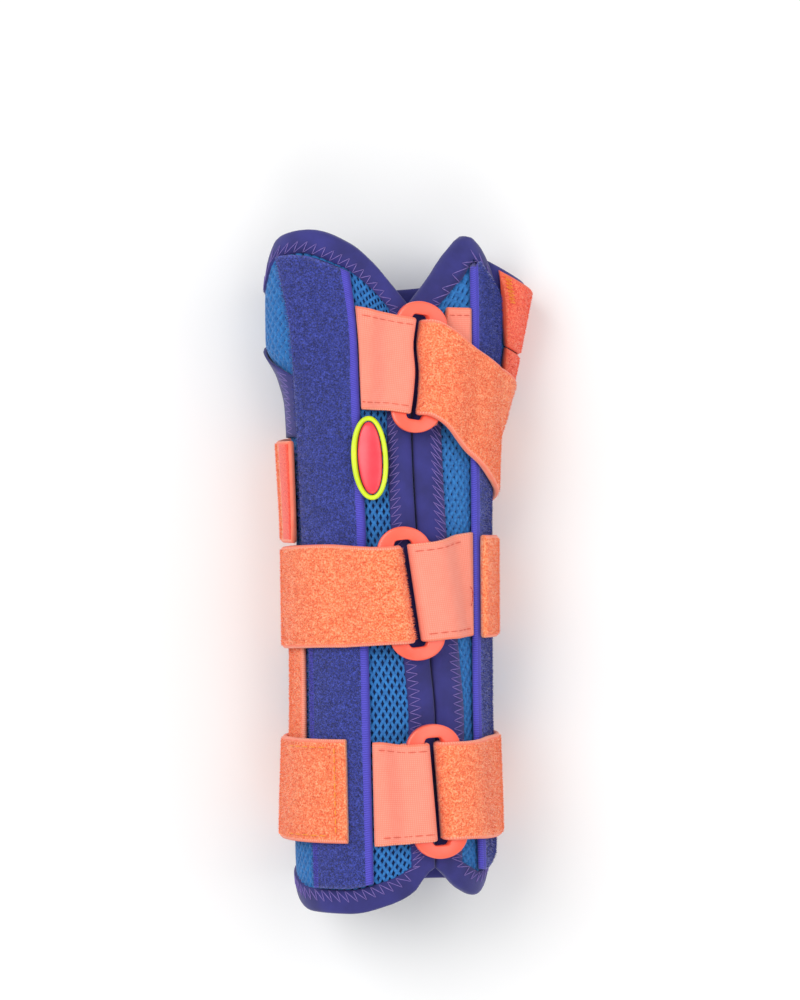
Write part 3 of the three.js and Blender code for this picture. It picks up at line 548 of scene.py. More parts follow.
def makeBody():
    around, length = wrap["girth"], wrap["length"]
    tucked = tape["width"] - tape["overMesh"]

    def onWrap(x, y, off):
        return wrapPoint(*wrapPlace(x / around, y / length), off)

    def onSleeve(x, y, off):
        angle = 360 * (1 - x / sleeveGirth)
        share = y / sleeve["length"]
        end = sleeve["length"] - mouthShortening(angle, 0) - tucked
        return sleevePoint(share * end, angle, off)

    def tuckIn(bm, width, height, sideTuck):
        scale = ((width - 2 * sideTuck) / width, (height - 2 * sideTuck) / height, 1)
        bmesh.ops.translate(bm, verts=bm.verts[:], vec=(-width / 2, -height / 2, 0))
        bmesh.ops.scale(bm, verts=bm.verts[:], vec=scale)
        bmesh.ops.translate(bm, verts=bm.verts[:], vec=(width / 2, height / 2, 0))

    sleeveGirth = math.pi * sleeve["diameter"]
    middleWall = -wrap["wall"] / 2
    outer = meshPanel(around, length)
    tuckIn(outer, around, length, tucked)
    shape(outer, onWrap)
    dropFaces(outer, lambda at: pastSleeve(at) < middleWall)
    lining = evenPattern(around, length, *knit["wrapLining"])
    tuckIn(lining, around, length, tucked)
    bmesh.ops.translate(lining, verts=lining.verts[:], vec=(0, 0, -wrap["wall"]))
    bmesh.ops.reverse_faces(lining, faces=lining.faces[:])
    shape(lining, onWrap)
    dropFaces(lining, lambda at: pastSleeve(at) < 0)
    thumb = meshPanel(sleeveGirth, sleeve["length"])
    shape(thumb, onSleeve)
    bmesh.ops.remove_doubles(thumb, verts=thumb.verts[:], dist=weldDistance)
    dropFaces(thumb, lambda at: (pastWrap(at) < middleWall) & (at[:, 1] < sleeve["freeFrom"]))
    inner = evenPattern(sleeveGirth, sleeve["length"], *knit["sleeveLining"])
    bmesh.ops.translate(inner, verts=inner.verts[:], vec=(0, 0, -wrap["wall"]))
    bmesh.ops.reverse_faces(inner, faces=inner.faces[:])
    shape(inner, onSleeve)
    bmesh.ops.remove_doubles(inner, verts=inner.verts[:], dist=weldDistance)
    dropFaces(inner, lambda at: (pastWrap(at) < middleWall) & (at[:, 1] < sleeve["freeFrom"]))
    for panel in (lining, inner):
        for face in panel.faces:
            face.material_index = 2
    whole = bmesh.new()
    for panel in (outer, lining, thumb, inner):
        part = bpy.data.meshes.new("panel")
        panel.to_mesh(part)
        panel.free()
        whole.from_mesh(part)
        bpy.data.meshes.remove(part)
    finish = ["spacerMesh", "paintedHoleShade", "lining"]
    body = finishPiece(whole, "wrapMesh", finish, ["body_mesh"])


print("wrap mesh")
makeBody()


# Edge tape: one folded band round the whole wrap, mitred at its four corners
edgeRound = 2 * (wrap["girth"] + wrap["length"])


# How much longer the edge is than its run round the wrap, where it goes aslant
def edgeStretch(around, table):
    step = 0.002
    rise = (follow(table, 1, around + step) - follow(table, 1, around - step)) * halfLength
    run = 2 * step * wrap["girth"]
    return np.sqrt(1 + (rise / run) ** 2)


# A place on the tape: distance round the edge from the seam's radial side, and in from the edge
def tapePlace(distance, inward):
    sides = [wrap["girth"], wrap["length"], wrap["girth"], wrap["length"]]
    corners = np.r_[0, np.cumsum(sides)]
    share = np.interp(np.mod(distance, corners[-1]), corners, range(5))
    side = np.minimum(np.floor(share), 3)
    t = share - side
    dr = inward / wrap["girth"]
    around = np.select(
        [side == 0, side == 1, side == 2],
        [dr + t * (1 - 2 * dr), 1 - dr, 1 - dr - t * (1 - 2 * dr)],
        dr,
    )
    top, end = (
        inward / wrap["length"] * np.minimum(edgeStretch(around, wrap[edge]), tape["mostStretch"])
        for edge in ("distalEdge", "proximalEdge")
    )
    along = np.select(
        [side == 0, side == 1, side == 2],
        [1 - top, 1 - top - t * (1 - top - end), end],
        end + t * (1 - top - end),
    )
    return wrapPlace(around, along)


# How wide the tape shows at a distance round the edge
def shownWidth(distance):
    past = np.mod(distance, edgeRound / 2) - wrap["girth"]
    atSeam = smoothStep(*tape["seamFade"], past) * smoothStep(*tape["seamFade"], wrap["length"] - past)
    return tape["shown"] + (tape["shownSeam"] - tape["shown"]) * atSeam


# The fold's profile: in from the edge and off the mesh, with both margins tucked into the wall
def foldProfile(steps):
    bend = np.radians(np.linspace(90, -90, steps))
    square = 2 / tape["foldSquare"]
    inward = tape["width"] * (1 - np.abs(np.cos(bend)) ** square)
    high = wrap["wall"] / 2 + tape["proud"]
    off = -wrap["wall"] / 2 + high * np.sign(np.sin(bend)) * np.abs(np.sin(bend)) ** square
    off[0], off[-1] = tape["proud"], -wrap["wall"] - tape["proud"]
    margin = tape["width"] + 0.15
    first = (margin, tape["proud"] - tape["tuck"])
    last = (margin, -wrap["wall"] - tape["proud"] + tape["tuck"])
    return np.array([first, *zip(inward, off), last])


def makeTape():
    profile = foldProfile(tape["foldSteps"])
    bm = flatPattern(np.linspace(0, edgeRound, tape["cells"] + 1), np.arange(len(profile)))

    def place(x, y, _):
        inward = np.interp(y, np.arange(len(profile)), profile[:, 0]) * shownWidth(x) / tape["width"]
        off = np.interp(y, np.arange(len(profile)), profile[:, 1])
        return wrapPoint(*tapePlace(x, inward), off)

    shape(bm, place)
    dropFaces(bm, lambda at: pastSleeve(at) < -wrap["wall"] / 2)
    sew(bm, closed=False)
    band = finishPiece(
        bm, "edgeTape", ["edgeTape"],
        [
            "binding_hand_radial", "binding_hand_ulnar", "binding_forearm",
            "binding_seam_radial", "binding_seam_ulnar",
        ],
    )
    threads = bmesh.new()
    turns = round(edgeRound / tape["zigzagPitch"]) * 2
    distance = np.linspace(0, edgeRound, turns + 1)
    inward = shownWidth(distance) - np.where(np.arange(turns + 1) % 2 == 0, tape["zigzagDepth"], 0)
    spots = wrapPoint(*tapePlace(distance, inward), tape["proud"] + tape["threadLift"])
    shown = pastSleeve(spots) > -0.5
    spots = toWorld(spots)
    for n in range(turns):
        if shown[n] and shown[n + 1]:
            addStitch(threads, spots[n], spots[n + 1], tape["thread"] / 1000)
    zigzag = finishPiece(threads, "edgeZigzag", ["mauveThread"])


def makeThumbTape():
    profile = foldProfile(tape["foldSteps"])
    bm = flatPattern(np.linspace(0, 360, tape["sleeveCells"] + 1), np.arange(len(profile)))

    def place(x, y, _):
        inward = np.interp(y, np.arange(len(profile)), profile[:, 0])
        off = np.interp(y, np.arange(len(profile)), profile[:, 1])
        return sleevePoint(sleeve["length"] - mouthShortening(x, off) - inward, x, off)

    shape(bm, place)
    sew(bm, closed=False)
    band = finishPiece(bm, "thumbTape", ["edgeTape"], ["binding_thumb"])


print("edge tape")
makeTape()
makeThumbTape()


# A flat slab's outline round its section: places across it and its height from 0 below to 1 above
def slabSection(width, thickness, acrossStep, rim):
    half = width / 2
    radius = thickness / 2
    count = max(2, round(2 * (half - rim) / acrossStep))
    top = np.r_[-half + radius, np.linspace(-half + rim, half - rim, count + 1), half - radius]
    bend = np.radians((60, 20, -20, -60))
    across = [*top, *(half - radius + radius * np.cos(bend))]
    across += [*np.linspace(half - radius, -half + radius, count)]
    high = [1] * len(top) + [*(0.5 + 0.5 * np.sin(bend))] + [0] * count
    across += [*(-half + radius - radius * np.cos(bend)), top[0]]
    high += [*(0.5 - 0.5 * np.sin(bend)), 1]
    return np.array(across), np.array(high)


# A slab laid from its flat pattern by place(across, down, height); its selvages take the second finish
def makeSlab(width, length, thickness, downStep, place, rim=1.1, acrossStep=2.2):
    across, high = slabSection(width, thickness, acrossStep, rim)
    run = np.r_[0, np.cumsum(np.hypot(np.diff(across), np.diff(high) * thickness))]
    rows = np.linspace(0, length, max(2, round(length / downStep)) + 1)
    bm = flatPattern(run, rows)
    for face in bm.faces:
        middle = face.calc_center_median().x
        face.material_index = int(abs(np.interp(middle, run, across)) > width / 2 - rim)
    shape(bm, lambda x, y, _: place(np.interp(x, run, across), y, np.interp(x, run, high)))
    sew(bm)
    return bm


# Fibres over a laid slab: each is one thin blade that stands on its face and leans
def growPile(name, finish, count, place, widths, lengths, thickness, nap, seed):
    chance = np.random.default_rng(seed)
    across = chance.uniform(*widths, count)
    down = chance.uniform(*lengths, count)
    turn = chance.uniform(0, 2 * np.pi, count)
    lean = chance.uniform(0.1, 0.9, count) * nap["height"] * nap["lean"]
    tall = chance.uniform(0.45, 1.0, count) * nap["height"] / thickness
    side = nap["fibre"] / 2
    way = chance.uniform(0, np.pi, count)
    foot = 1 - pile["rooted"] / thickness
    corners = [
        place(across + side * np.cos(way), down + side * np.sin(way), np.full(count, foot)),
        place(across - side * np.cos(way), down - side * np.sin(way), np.full(count, foot)),
        place(across + lean * np.cos(turn), down + lean * np.sin(turn), 1 + tall),
    ]
    points = toWorld(np.stack(corners, axis=1).reshape(-1, 3))
    points[:, 2] = np.maximum(points[:, 2], pile["floor"] / 1000)  # flattened where it lies on the floor
    mesh = bpy.data.meshes.new(name)
    mesh.from_pydata(points.tolist(), [], np.arange(3 * count).reshape(-1, 3).tolist())
    mesh.materials.append(finishes[finish])
    return addPiece(name, mesh)


# The two long strips of loop pile on top, and the side strip
strips = {
    "nap": {"height": 0.75, "lean": 0.9, "fibre": 0.2},
    "perSquare": 9,
    "selvage": 2.4,
    "flat": (20.6, 186),
    "nearEnd": 0.9,  # share of half the length where a strip's end looks for the tape
    # at along, then outer and inner edges as shares of the width
    "ulnar": [
        (0.46, -0.499, -0.207), (0.35, -0.436, -0.169), (0.19, -0.405, -0.148), (0.03, -0.383, -0.127),
        (-0.13, -0.355, -0.117), (-0.25, -0.35, -0.11), (-0.46, -0.334, -0.097),
    ],
    "radialInner": [(0.5, 0.291), (-0.19, 0.304), (-0.46, 0.33)],
    "radialOuter": [(0.5, 12), (0.22, 14), (0.1, -8), (-0.5, -8)],  # at along, and turn
    "sideFlat": (28, 38),
    "sideMiddle": -38,
    "sideGap": 2.4,
    "endGap": 1.6,
    "sideTurn": 206,
    "sideThickness": 1.7,
}


def ulnarOuter(y):
    return acrossTurn(strips["ulnar"], 1, y)


def ulnarInner(y):
    return acrossTurn(strips["ulnar"], 2, y)


def radialInner(y):
    return acrossTurn(strips["radialInner"], 1, y)


def radialOuter(y):
    return follow(strips["radialOuter"], 1, np.asarray(y) / wrap["length"])


# Where a line at a turn meets the tape's inner margin at one end of the wrap
def tapeMargin(turn, y, table):
    around = np.mod((seamTurn(y) - turn) / 360, 1)
    stretch = np.minimum(edgeStretch(around, table), tape["mostStretch"])
    depth = tape["width"] * stretch + strips["endGap"]
    return follow(table, 1, around) * halfLength - depth * np.sign(y)


# A strip's pattern is as long as the wrap, and is drawn in to the tape at both ends
def makeStrip(name, node, low, high, selvageAt, seed):
    nominal, length = strips["flat"]
    nearEnd = strips["nearEnd"] * halfLength

    def place(across, down, height):
        def turnNear(y):
            return low(y) + (high(y) - low(y)) * (across / nominal + 0.5)

        end = tapeMargin(turnNear(-nearEnd), -nearEnd, wrap["proximalEdge"])
        top = tapeMargin(turnNear(nearEnd), nearEnd, wrap["distalEdge"])
        y = end + (top - end) * down / wrap["length"]
        return wrapPoint(turnNear(y), y, pile["lift"] + pile["thickness"] * height)

    bm = makeSlab(nominal, wrap["length"], pile["thickness"], 2.0, place, rim=strips["selvage"])
    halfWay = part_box(node)[0].x + nominal / 2000
    for face in bm.faces:
        if face.material_index == 1:  # only the selvage towards the seam is bare of pile
            face.material_index = int((face.calc_center_median().x > halfWay) == (selvageAt > 0))
    strip = finishPiece(bm, name, ["bluePile", "blueSelvage"], [node])
    edges = sorted((-selvageAt * nominal / 2, selvageAt * (nominal / 2 - strips["selvage"])))
    count = round(strips["perSquare"] * nominal * wrap["length"])
    fur = growPile(
        name + "Pile", "bluePile", count, place, edges, (0.5, wrap["length"] - 0.5),
        pile["thickness"], strips["nap"], seed,
    )


print("pile strips")
makeStrip("ulnarStrip", "pile_strip_ulnar", ulnarOuter, ulnarInner, 1, 11)
makeStrip("radialStrip", "pile_strip_radial", radialInner, radialOuter, -1, 12)


def makeSideStrip():
    width, length = strips["sideFlat"]

    def place(across, down, height):
        y = strips["sideMiddle"] - length / 2 + down
        start = ulnarOuter(y) + turnOf(strips["sideGap"], y)
        turn = start + (strips["sideTurn"] - start) * (across / width + 0.5)
        return wrapPoint(turn, y, pile["lift"] + strips["sideThickness"] * height)

    bm = makeSlab(width, length, strips["sideThickness"], 2.0, place, rim=1.0)
    strip = finishPiece(bm, "sideStrip", ["orangePile", "strapSelvage"], ["pile_strip_side"])
    count = round(strips["perSquare"] * width * length)
    fur = growPile(
        "sideStripPile", "orangePile", count, place, (-width / 2 + 0.9, width / 2 - 0.9),
        (0.3, length - 0.3), strips["sideThickness"], strips["nap"], 13,
    )


makeSideStrip()

# The three rings: oval hoops with a slot, laid over the edge tape
rings = {
    "length": 40, "width": 14.4, "slotLength": 32, "slotWidth": 5.6, "thickness": 2.6, "low": 3.2,
    "sideShare": 0.25,  # of the way round, on either side, that runs nearly straight
    "slotSquare": 6,
    "edgeSquare": 0.35,  # small for sharp edges
    "tilt": {"distal": 8.9, "middle": -7, "proximal": -3.8},
    "place": {"distal": (6, 60.7), "middle": (3.6, -6.9), "proximal": (11.5, -65.6)},
}
ringHigh = rings["low"] + rings["thickness"]
ringLeave = rings["width"] / 2 + 0.4  # a strap starts down from its ring here


# The turn of a place on the wrap, and spot(over, up), a turn and a distance along at offsets from it
def tiltedFrame(across, along, tilt, off):
    tilt = math.radians(tilt)
    base = float(turnAcross(across, along, off))
    step = float(turnOf(1, along))

    def spot(over, up):
        turn = base - (over * math.cos(tilt) + up * math.sin(tilt)) * step
        return turn, along - over * math.sin(tilt) + up * math.cos(tilt)

    return base, spot


def ringFrame(name):
    return tiltedFrame(*rings["place"][name], rings["tilt"][name], (rings["low"] + ringHigh) / 2)


# Cosine and sine of a share of a turn, each raised to a power with its sign kept
def squared(share, power):
    angle = share * 2 * np.pi
    return [np.sign(part) * np.abs(part) ** power for part in (np.cos(angle), np.sin(angle))]


def oval(share, width, length, square):
    over, up = squared(share, 2 / square)
    return width / 2 * over, length / 2 * up


# A point of a ring's outline, which is round at its ends and nearly straight along its sides
def ringOutline(share):
    across = np.cos(share * 2 * np.pi)
    along = np.sin(share * 2 * np.pi)
    half = rings["width"] / 2
    straight = (rings["length"] / 2 - half) * np.clip(along / rings["sideShare"], -1, 1)
    return half * across, half * along + straight


def makeRing(name):
    spot = ringFrame(name)[1]
    around = 128
    section = 24
    bm = flatPattern(np.arange(around + 1), np.arange(section + 1))

    def place(x, y, _):
        share, high = (0.5 + 0.5 * part for part in squared(y / section, rings["edgeSquare"]))
        slot = oval(x / around, rings["slotWidth"], rings["slotLength"], rings["slotSquare"])
        outline = ringOutline(x / around)
        offset = [inner + (outer - inner) * share for inner, outer in zip(slot, outline)]
        return wrapPoint(*spot(*offset), rings["low"] + rings["thickness"] * high)

    shape(bm, place)
    sew(bm)
    finishPiece(bm, name + "Ring", ["ringPlastic"], ["ring_" + name])


print("rings")
for ringName in rings["place"]:
    makeRing(ringName)

straps = {
    "width": 31,
    "foldWidth": 29.2,
    "thickness": 1.8,
    "webThickness": 1.2,
    "clearance": 0.5,
    "foldClearance": 0.5,
    "landing": 12,
    "nap": {"height": 0.7, "lean": 0.9, "fibre": 0.2},
    "perSquare": 8,
    # turn and share of half the length along each strap's centre, after its ring
    "courses": {
        "distal": [
            (44, 0.515), (29, 0.46), (0, 0.378), (-45, 0.325),
            (-90, 0.283), (-135, 0.25), (-180, 0.228), (-208, 0.226),
        ],
        "middle": [
            (130, -0.076), (180, -0.087), (225, -0.08), (270, -0.068),
            (315, -0.058), (360, -0.052), (390, -0.05),
        ],
        "proximal": [
            (30, -0.637), (0, -0.637), (-45, -0.641), (-90, -0.646),
            (-135, -0.65), (-180, -0.645), (-245, -0.638),
        ],
    },
    "hookShown": 6.5,  # the hook face at the distal strap's end
    "squareLead": (0, 4),
    "turnIn": (22, 50),  # where the edges turn from square to the ring to square to the course
    "tail": 1.2,  # how far the hidden end reaches past its ring
    "pileFrom": 9.0,  # the pile shows from the bar on
    "webGap": 0.6,
    "overWeb": 30,  # past this turn the distal strap lies on the short web
    # turns where the pile below a strap starts and ends, the first past the radial strip's outer edge
    "radialPile": ((-24, -9), (48, 62)),
    "ulnarPile": ((86, 100), (210, 224)),
}


# A smooth line through points, with what is needed to walk along it
def smoothLine(points):
    points = np.array(points, float)
    ends = np.vstack([2 * points[0] - points[1], points, 2 * points[-1] - points[-2]])
    fine = np.linspace(0, 1, 120, endpoint=False)[:, None]
    stretches = []
    for p0, p1, p2, p3 in zip(ends, ends[1:], ends[2:], ends[3:]):
        d0, d1, d2 = (math.sqrt(np.linalg.norm(b - a)) for a, b in ((p0, p1), (p1, p2), (p2, p3)))
        t1 = ((p1 - p0) / d0 - (p2 - p0) / (d0 + d1) + (p2 - p1) / d1) * d1
        t2 = ((p2 - p1) / d1 - (p3 - p1) / (d1 + d2) + (p3 - p2) / d2) * d1
        bowed = (2 * p1 - 2 * p2 + t1 + t2) * fine ** 3 + (3 * p2 - 3 * p1 - 2 * t1 - t2) * fine ** 2
        stretches.append(bowed + t1 * fine + p1)
    line = np.vstack([*stretches, points[-1:]])
    gone = np.r_[0, np.cumsum(np.linalg.norm(np.diff(line, axis=0), axis=1))]
    tangent = np.gradient(line, gone, axis=0)
    return line, gone, tangent / np.linalg.norm(tangent, axis=1)[:, None]


# A course over the wrap from the middle of a ring, with at(past, aside)
def courseOf(name, side, rows):
    spot = ringFrame(name)[1]
    start = [spot(over * side, 0) for over in straps["squareLead"]]
    step = float(turnOf(1, start[0][1]))
    line, gone, tangent = smoothLine([(turn / step, y) for turn, y in [*start, *rows]])
    length = gone[-1]
    square = tangent[0]

    def at(past, aside):
        within = np.clip(past, 0, length)
        x, y = (np.interp(within, gone, line[:, n]) for n in (0, 1))
        tx, ty = (np.interp(within, gone, tangent[:, n]) for n in (0, 1))
        beyond = np.where(past < 0, past, np.maximum(0, past - length))
        turn = (x + tx * beyond) * step
        turned = smoothStep(*straps["turnIn"], past)
        fx = square[0] + (tx - square[0]) * turned
        fy = square[1] + (ty - square[1]) * turned
        size = np.hypot(fx, fy)
        return turn - fy / size * aside * turnOf(1, y), y + ty * beyond + fx / size * aside

    return length, at


# The height of the pile that a strap lies on at a place
def pileUnder(turn, y):
    around = np.mod(turn, 360)
    fromSide = np.mod(turn + 180, 360) - 180
    rise, fall = straps["radialPile"]
    radial = smoothStep(*rise, fromSide - radialOuter(y)) * (1 - smoothStep(*fall, fromSide))
    rise, fall = straps["ulnarPile"]
    ulnar = smoothStep(*rise, around) - smoothStep(*fall, around)
    return (pile["thickness"] + pile["lift"]) * np.minimum(1, radial + np.maximum(0, ulnar))


# The path of a strap or web that folds under its ring's bar and up through the slot. Columns: distance
# down the strap, near face's past and off, far face's past and off, share fallen to the wrap, share of
# the run after it
def foldedPath(thickness, landing, run):
    bar = rings["slotWidth"] / 2
    gap = straps["foldClearance"]
    low = rings["low"] - gap
    high = ringHigh + gap
    middle = (rings["low"] + ringHigh) / 2
    reach = rings["thickness"] / 2 + gap
    back = rings["width"] / 2 + straps["tail"]
    rows = [(past, low, past, low - thickness, 0, 0) for past in (back, (back + bar) / 2, bar + 1.5)]
    for bend in np.radians(range(0, 181, 12)):
        inward, up = math.sin(bend), -math.cos(bend)
        far = (bar - (gap + thickness) * inward, middle + (reach + thickness) * up)
        rows.append((bar - gap * inward, middle + reach * up, *far, 0, 0))
    for share in (0.25, 0.5, 0.75, 1):
        past = bar + (ringLeave - bar) * share
        rows.append((past, high, past, high + thickness, 0, 0))
    for fall in np.linspace(0, 1, 11)[1:]:
        past = ringLeave + landing * fall
        rows.append((past, high, past, high + thickness, fall, 0))
    rows.append((past, high, past, high + thickness, 1, 1))
    rows = np.array(rows)
    mid = (rows[:, 0:2] + rows[:, 2:4]) / 2
    gone = np.r_[0, np.cumsum(np.linalg.norm(np.diff(mid, axis=0), axis=1))]
    gone[-1] = gone[-2] + run
    return np.column_stack([gone, rows])


# Gives place(across, down, height) for a folded strap or web, and its flat length
def layFolded(course, thickness, landing, lie, endAt):
    at = course[1]
    start = ringLeave + landing
    run = float(endAt(np.array(0.0))) - start
    path = foldedPath(thickness, landing, run)
    high = ringHigh + straps["foldClearance"]

    def place(across, down, height):
        nearPast, nearOff, farPast, farOff, fallen, late = (
            np.interp(down, path[:, 0], path[:, n]) for n in range(1, 7)
        )
        widened = straps["foldWidth"] / straps["width"] * (1 - fallen) + fallen
        aside = across * widened
        past = nearPast + (farPast - nearPast) * height + (endAt(aside) - start) * late
        turn, y = at(past, aside)
        fall = smoothStep(0, 1, fallen)
        off = nearOff + (farOff - nearOff) * height + (lie(turn, y) - high) * fall
        return wrapPoint(turn, y, off, bridgedSwell(turn, y) * fall)

    return place, path[-1, 0]


def makeStrap(name, side, seed):
    rows = [(turn, share * halfLength) for turn, share in straps["courses"][name]]
    course = courseOf(name, side, rows)
    webTop = overTape + straps["webThickness"]

    def lie(turn, y):
        overWeb = np.where((turn > straps["overWeb"]) & (name == "distal"), webTop, 0)
        return straps["clearance"] + np.maximum(pileUnder(turn, y), overWeb)

    place, length = layFolded(
        course, straps["thickness"], straps["landing"], lie, lambda aside: course[0] + 0 * aside
    )
    title = name + "Strap"
    half = straps["width"] / 2
    pileEnd = length - (straps["hookShown"] if name == "distal" else 0.2)
    bm = makeSlab(straps["width"], length, straps["thickness"], 1.5, place)
    flat = bm.loops.layers.uv["cloth"]
    for face in bm.faces:
        if face.material_index == 0 and face.loops[0][flat].uv.y > pileEnd + 0.3:
            face.material_index = 2
    strap = finishPiece(
        bm, title, ["orangePile", "strapSelvage", "hookFace"], ["strap_" + name]
    )
    count = round(straps["perSquare"] * straps["width"] * length)
    fur = growPile(
        title + "Pile", "orangePile", count, place, (1 - half, half - 1),
        (straps["pileFrom"], pileEnd), straps["thickness"], straps["nap"], seed,
    )
    return place, length


print("straps")
laid = {
    "distal": makeStrap("distal", 1, 21),
    "middle": makeStrap("middle", -1, 22),
    "proximal": makeStrap("proximal", 1, 23),
}


# A web runs from its ring to the edge of the nearest pile strip and stops against it
def makeWeb(name, side, edgeTurn):
    base, spot = ringFrame(name)
    along = rings["place"][name][1]
    away = float(abs(base - edgeTurn(along)) / turnOf(1, along))
    course = courseOf(name, side, [spot((away + straps["width"] / 2) * side, 0)])

    def endAt(aside):
        low = np.full(np.shape(aside), rings["width"] / 2)
        high = np.full(np.shape(aside), course[0])
        for _ in range(24):
            past = (low + high) / 2
            turn, y = course[1](past, aside)
            short = side * (turn - edgeTurn(y)) > turnOf(straps["webGap"], y)
            low = np.where(short, past, low)
            high = np.where(short, high, past)
        return low

    landing = max(3, away - rings["width"] / 2 - 4)
    place, length = layFolded(
        course, straps["webThickness"], landing, lambda turn, y: overTape + 0 * turn, endAt
    )
    bm = makeSlab(straps["width"], length, straps["webThickness"], 1.2, place, rim=0.8)
    web = finishPiece(bm, name + "Web", ["wovenWeb", "strapSelvage"], ["web_" + name])
    return place, length


print("webs")
laid["distalWeb"] = makeWeb("distal", -1, ulnarInner)
laid["middleWeb"] = makeWeb("middle", 1, radialInner)
laid["proximalWeb"] = makeWeb("proximal", -1, ulnarInner)

# The short web beside the distal ring: low and high are along from the ring's middle
thumbWeb = {"low": -2.7, "high": 18.3, "fromRing": 9.2, "length": 8.5, "cut": 10}


def makeThumbWeb():
    spot = ringFrame("distal")[1]
    along = rings["place"]["distal"][1]
    width = thumbWeb["high"] - thumbWeb["low"]

    def place(across, down, height):
        past = (thumbWeb["low"] + thumbWeb["high"]) / 2 + across
        start = spot(thumbWeb["fromRing"], past)[0]
        end = radialInner(along + past) + turnOf(straps["webGap"], along + past)
        turn = start + (end - start) * down / thumbWeb["length"]
        return wrapPoint(turn, along + past, overTape + straps["webThickness"] * height)

    bm = makeSlab(width, thumbWeb["length"], straps["webThickness"], 1.0, place, rim=0.8)
    web = finishPiece(bm, "thumbWeb", ["wovenWeb", "strapSelvage"], ["web_thumb"])
    return place, thumbWeb["length"]


laid["thumbWeb"] = makeThumbWeb()


# Lines of stitching on webs and tabs, a little inside their edges. Heights are shares of the thickness
stitching = {
    "inside": 2.4, "length": 2.1, "gap": 0.5, "thread": 0.2, "webHeight": 1.08, "tabHeight": 1.42,
    "webFrom": 11, "tabLength": 15, "loose": 0.14, "fine": 0.13,
}


# A line of stitches from one place, across and down a laid slab, straight to another
def stitchLine(bm, place, start, end, height):
    start, end = np.array(start, float), np.array(end, float)
    reach = np.linalg.norm(end - start)
    way = (end - start) / reach
    for gone in np.arange(0, reach - stitching["length"], stitching["length"] + stitching["gap"]):
        across, down = (start + np.outer((gone, gone + stitching["length"]), way)).T
        addThread(bm, place(across, down, np.full(2, height)), stitching["thread"])


def stitchWebs():
    bm = bmesh.new()
    edge = straps["width"] / 2 - stitching["inside"]
    for name in ("distalWeb", "middleWeb", "proximalWeb"):
        place, length = laid[name]
        for across in (-edge, edge):
            ends = (across, stitching["webFrom"]), (across, length - 0.4)
            stitchLine(bm, place, *ends, stitching["webHeight"])
    place, length = laid["thumbWeb"]
    across = (thumbWeb["high"] - thumbWeb["low"]) / 2 - stitching["inside"]
    stitchLine(bm, place, (across, 0.4), (across, length), stitching["webHeight"])
    finishPiece(bm, "webStitches", ["salmonThread"])


stitchWebs()


# The box of stitching on the proximal strap's end, its loose loop of thread, and a red thread's end
def stitchTabs():
    bm = bmesh.new()
    place, length = laid["proximal"]
    edge = straps["width"] / 2 - stitching["inside"]
    back = length - stitching["inside"]
    front = back - stitching["tabLength"]
    for start, end in (
        ((-edge, front), (-edge, back)), ((edge, front), (edge, back)), ((-edge, back), (edge, back)),
    ):
        stitchLine(bm, place, start, end, stitching["tabHeight"])
    finishPiece(bm, "tabStitches", ["orangeThread"])
    loop = bmesh.new()
    turned = np.radians(np.linspace(-70, 250, 13))
    across = edge + 0.3 + 0.9 * np.sin(turned)
    down = length + 0.9 + np.cos(turned)
    addThread(loop, place(across, down, 0.9 + 0.35 * np.cos(turned)), stitching["loose"])
    finishPiece(loop, "looseThread", ["salmonThread"])
    place, length = laid["middleWeb"]
    down = np.array([0, -0.3, -0.2, 0.1, 0.4, 0.2]) + length - 1.7
    across = np.linspace(6.5, 0.5, 6)
    red = bmesh.new()
    addThread(red, place(across, down, np.array([1.2, 1.7, 1.9, 1.8, 1.6, 1.2])), stitching["fine"])
    finishPiece(red, "redThreadEnd", ["redThread"])


stitchTabs()

# The two pieces of pile webbing round the sleeve: top is how far below the mouth each starts
thumbStraps = {
    "thickness": 1.7,
    "nap": {"height": 0.6, "lean": 0.8, "fibre": 0.2},
    "upper": {"top": 1.2, "width": 20.5, "from": 118, "to": -110},
    "lower": {"top": 22.0, "width": 10.0, "from": 80, "to": -84},
    "room": 2.7,  # how far their ends stop short of the wrap
    "perSquare": 7,
}


def makeThumbStrap(name, seed):
    kit = thumbStraps[name]
    width = kit["width"]
    length = math.radians(kit["from"] - kit["to"]) * (sleeve["diameter"] / 2 + 1)

    def place(across, down, height):
        angle = kit["from"] + (kit["to"] - kit["from"]) * down / length
        top = sleeve["length"] - mouthShortening(angle, tape["proud"]) - kit["top"]
        off = overTape + thumbStraps["thickness"] * height
        return sleevePoint(top - width / 2 + across, angle, off)

    # The strap's two ends run along the wrap's pile, so each line down it starts and stops there
    lines = np.linspace(-width / 2, width / 2, 13)
    fine = np.linspace(0, length, 400)
    spans = []
    for line in lines:
        clear = pastWrap(place(line, fine, 0.5)) > thumbStraps["room"]
        spans.append((fine[clear][0], fine[clear][-1]))
    spans = np.array(spans)

    def trimmed(across, down, height):
        start, end = (np.interp(across, lines, spans[:, n]) for n in (0, 1))
        return place(across, start + (end - start) * down / length, height)

    bm = makeSlab(width, length, thumbStraps["thickness"], 1.5, trimmed, rim=0.9)
    title = name + "ThumbStrap"
    strap = finishPiece(bm, title, ["thumbPile", "thumbSelvage"], ["thumb_strap_" + name])
    count = round(thumbStraps["perSquare"] * width * length)
    fur = growPile(
        title + "Pile", "thumbPile", count, trimmed, (0.8 - width / 2, width / 2 - 0.8),
        (0.2, length - 0.2), thumbStraps["thickness"], thumbStraps["nap"], seed,
    )
    return trimmed, length


print("thumb straps")
laid["upperThumb"] = makeThumbStrap("upper", 31)
makeThumbStrap("lower", 32)


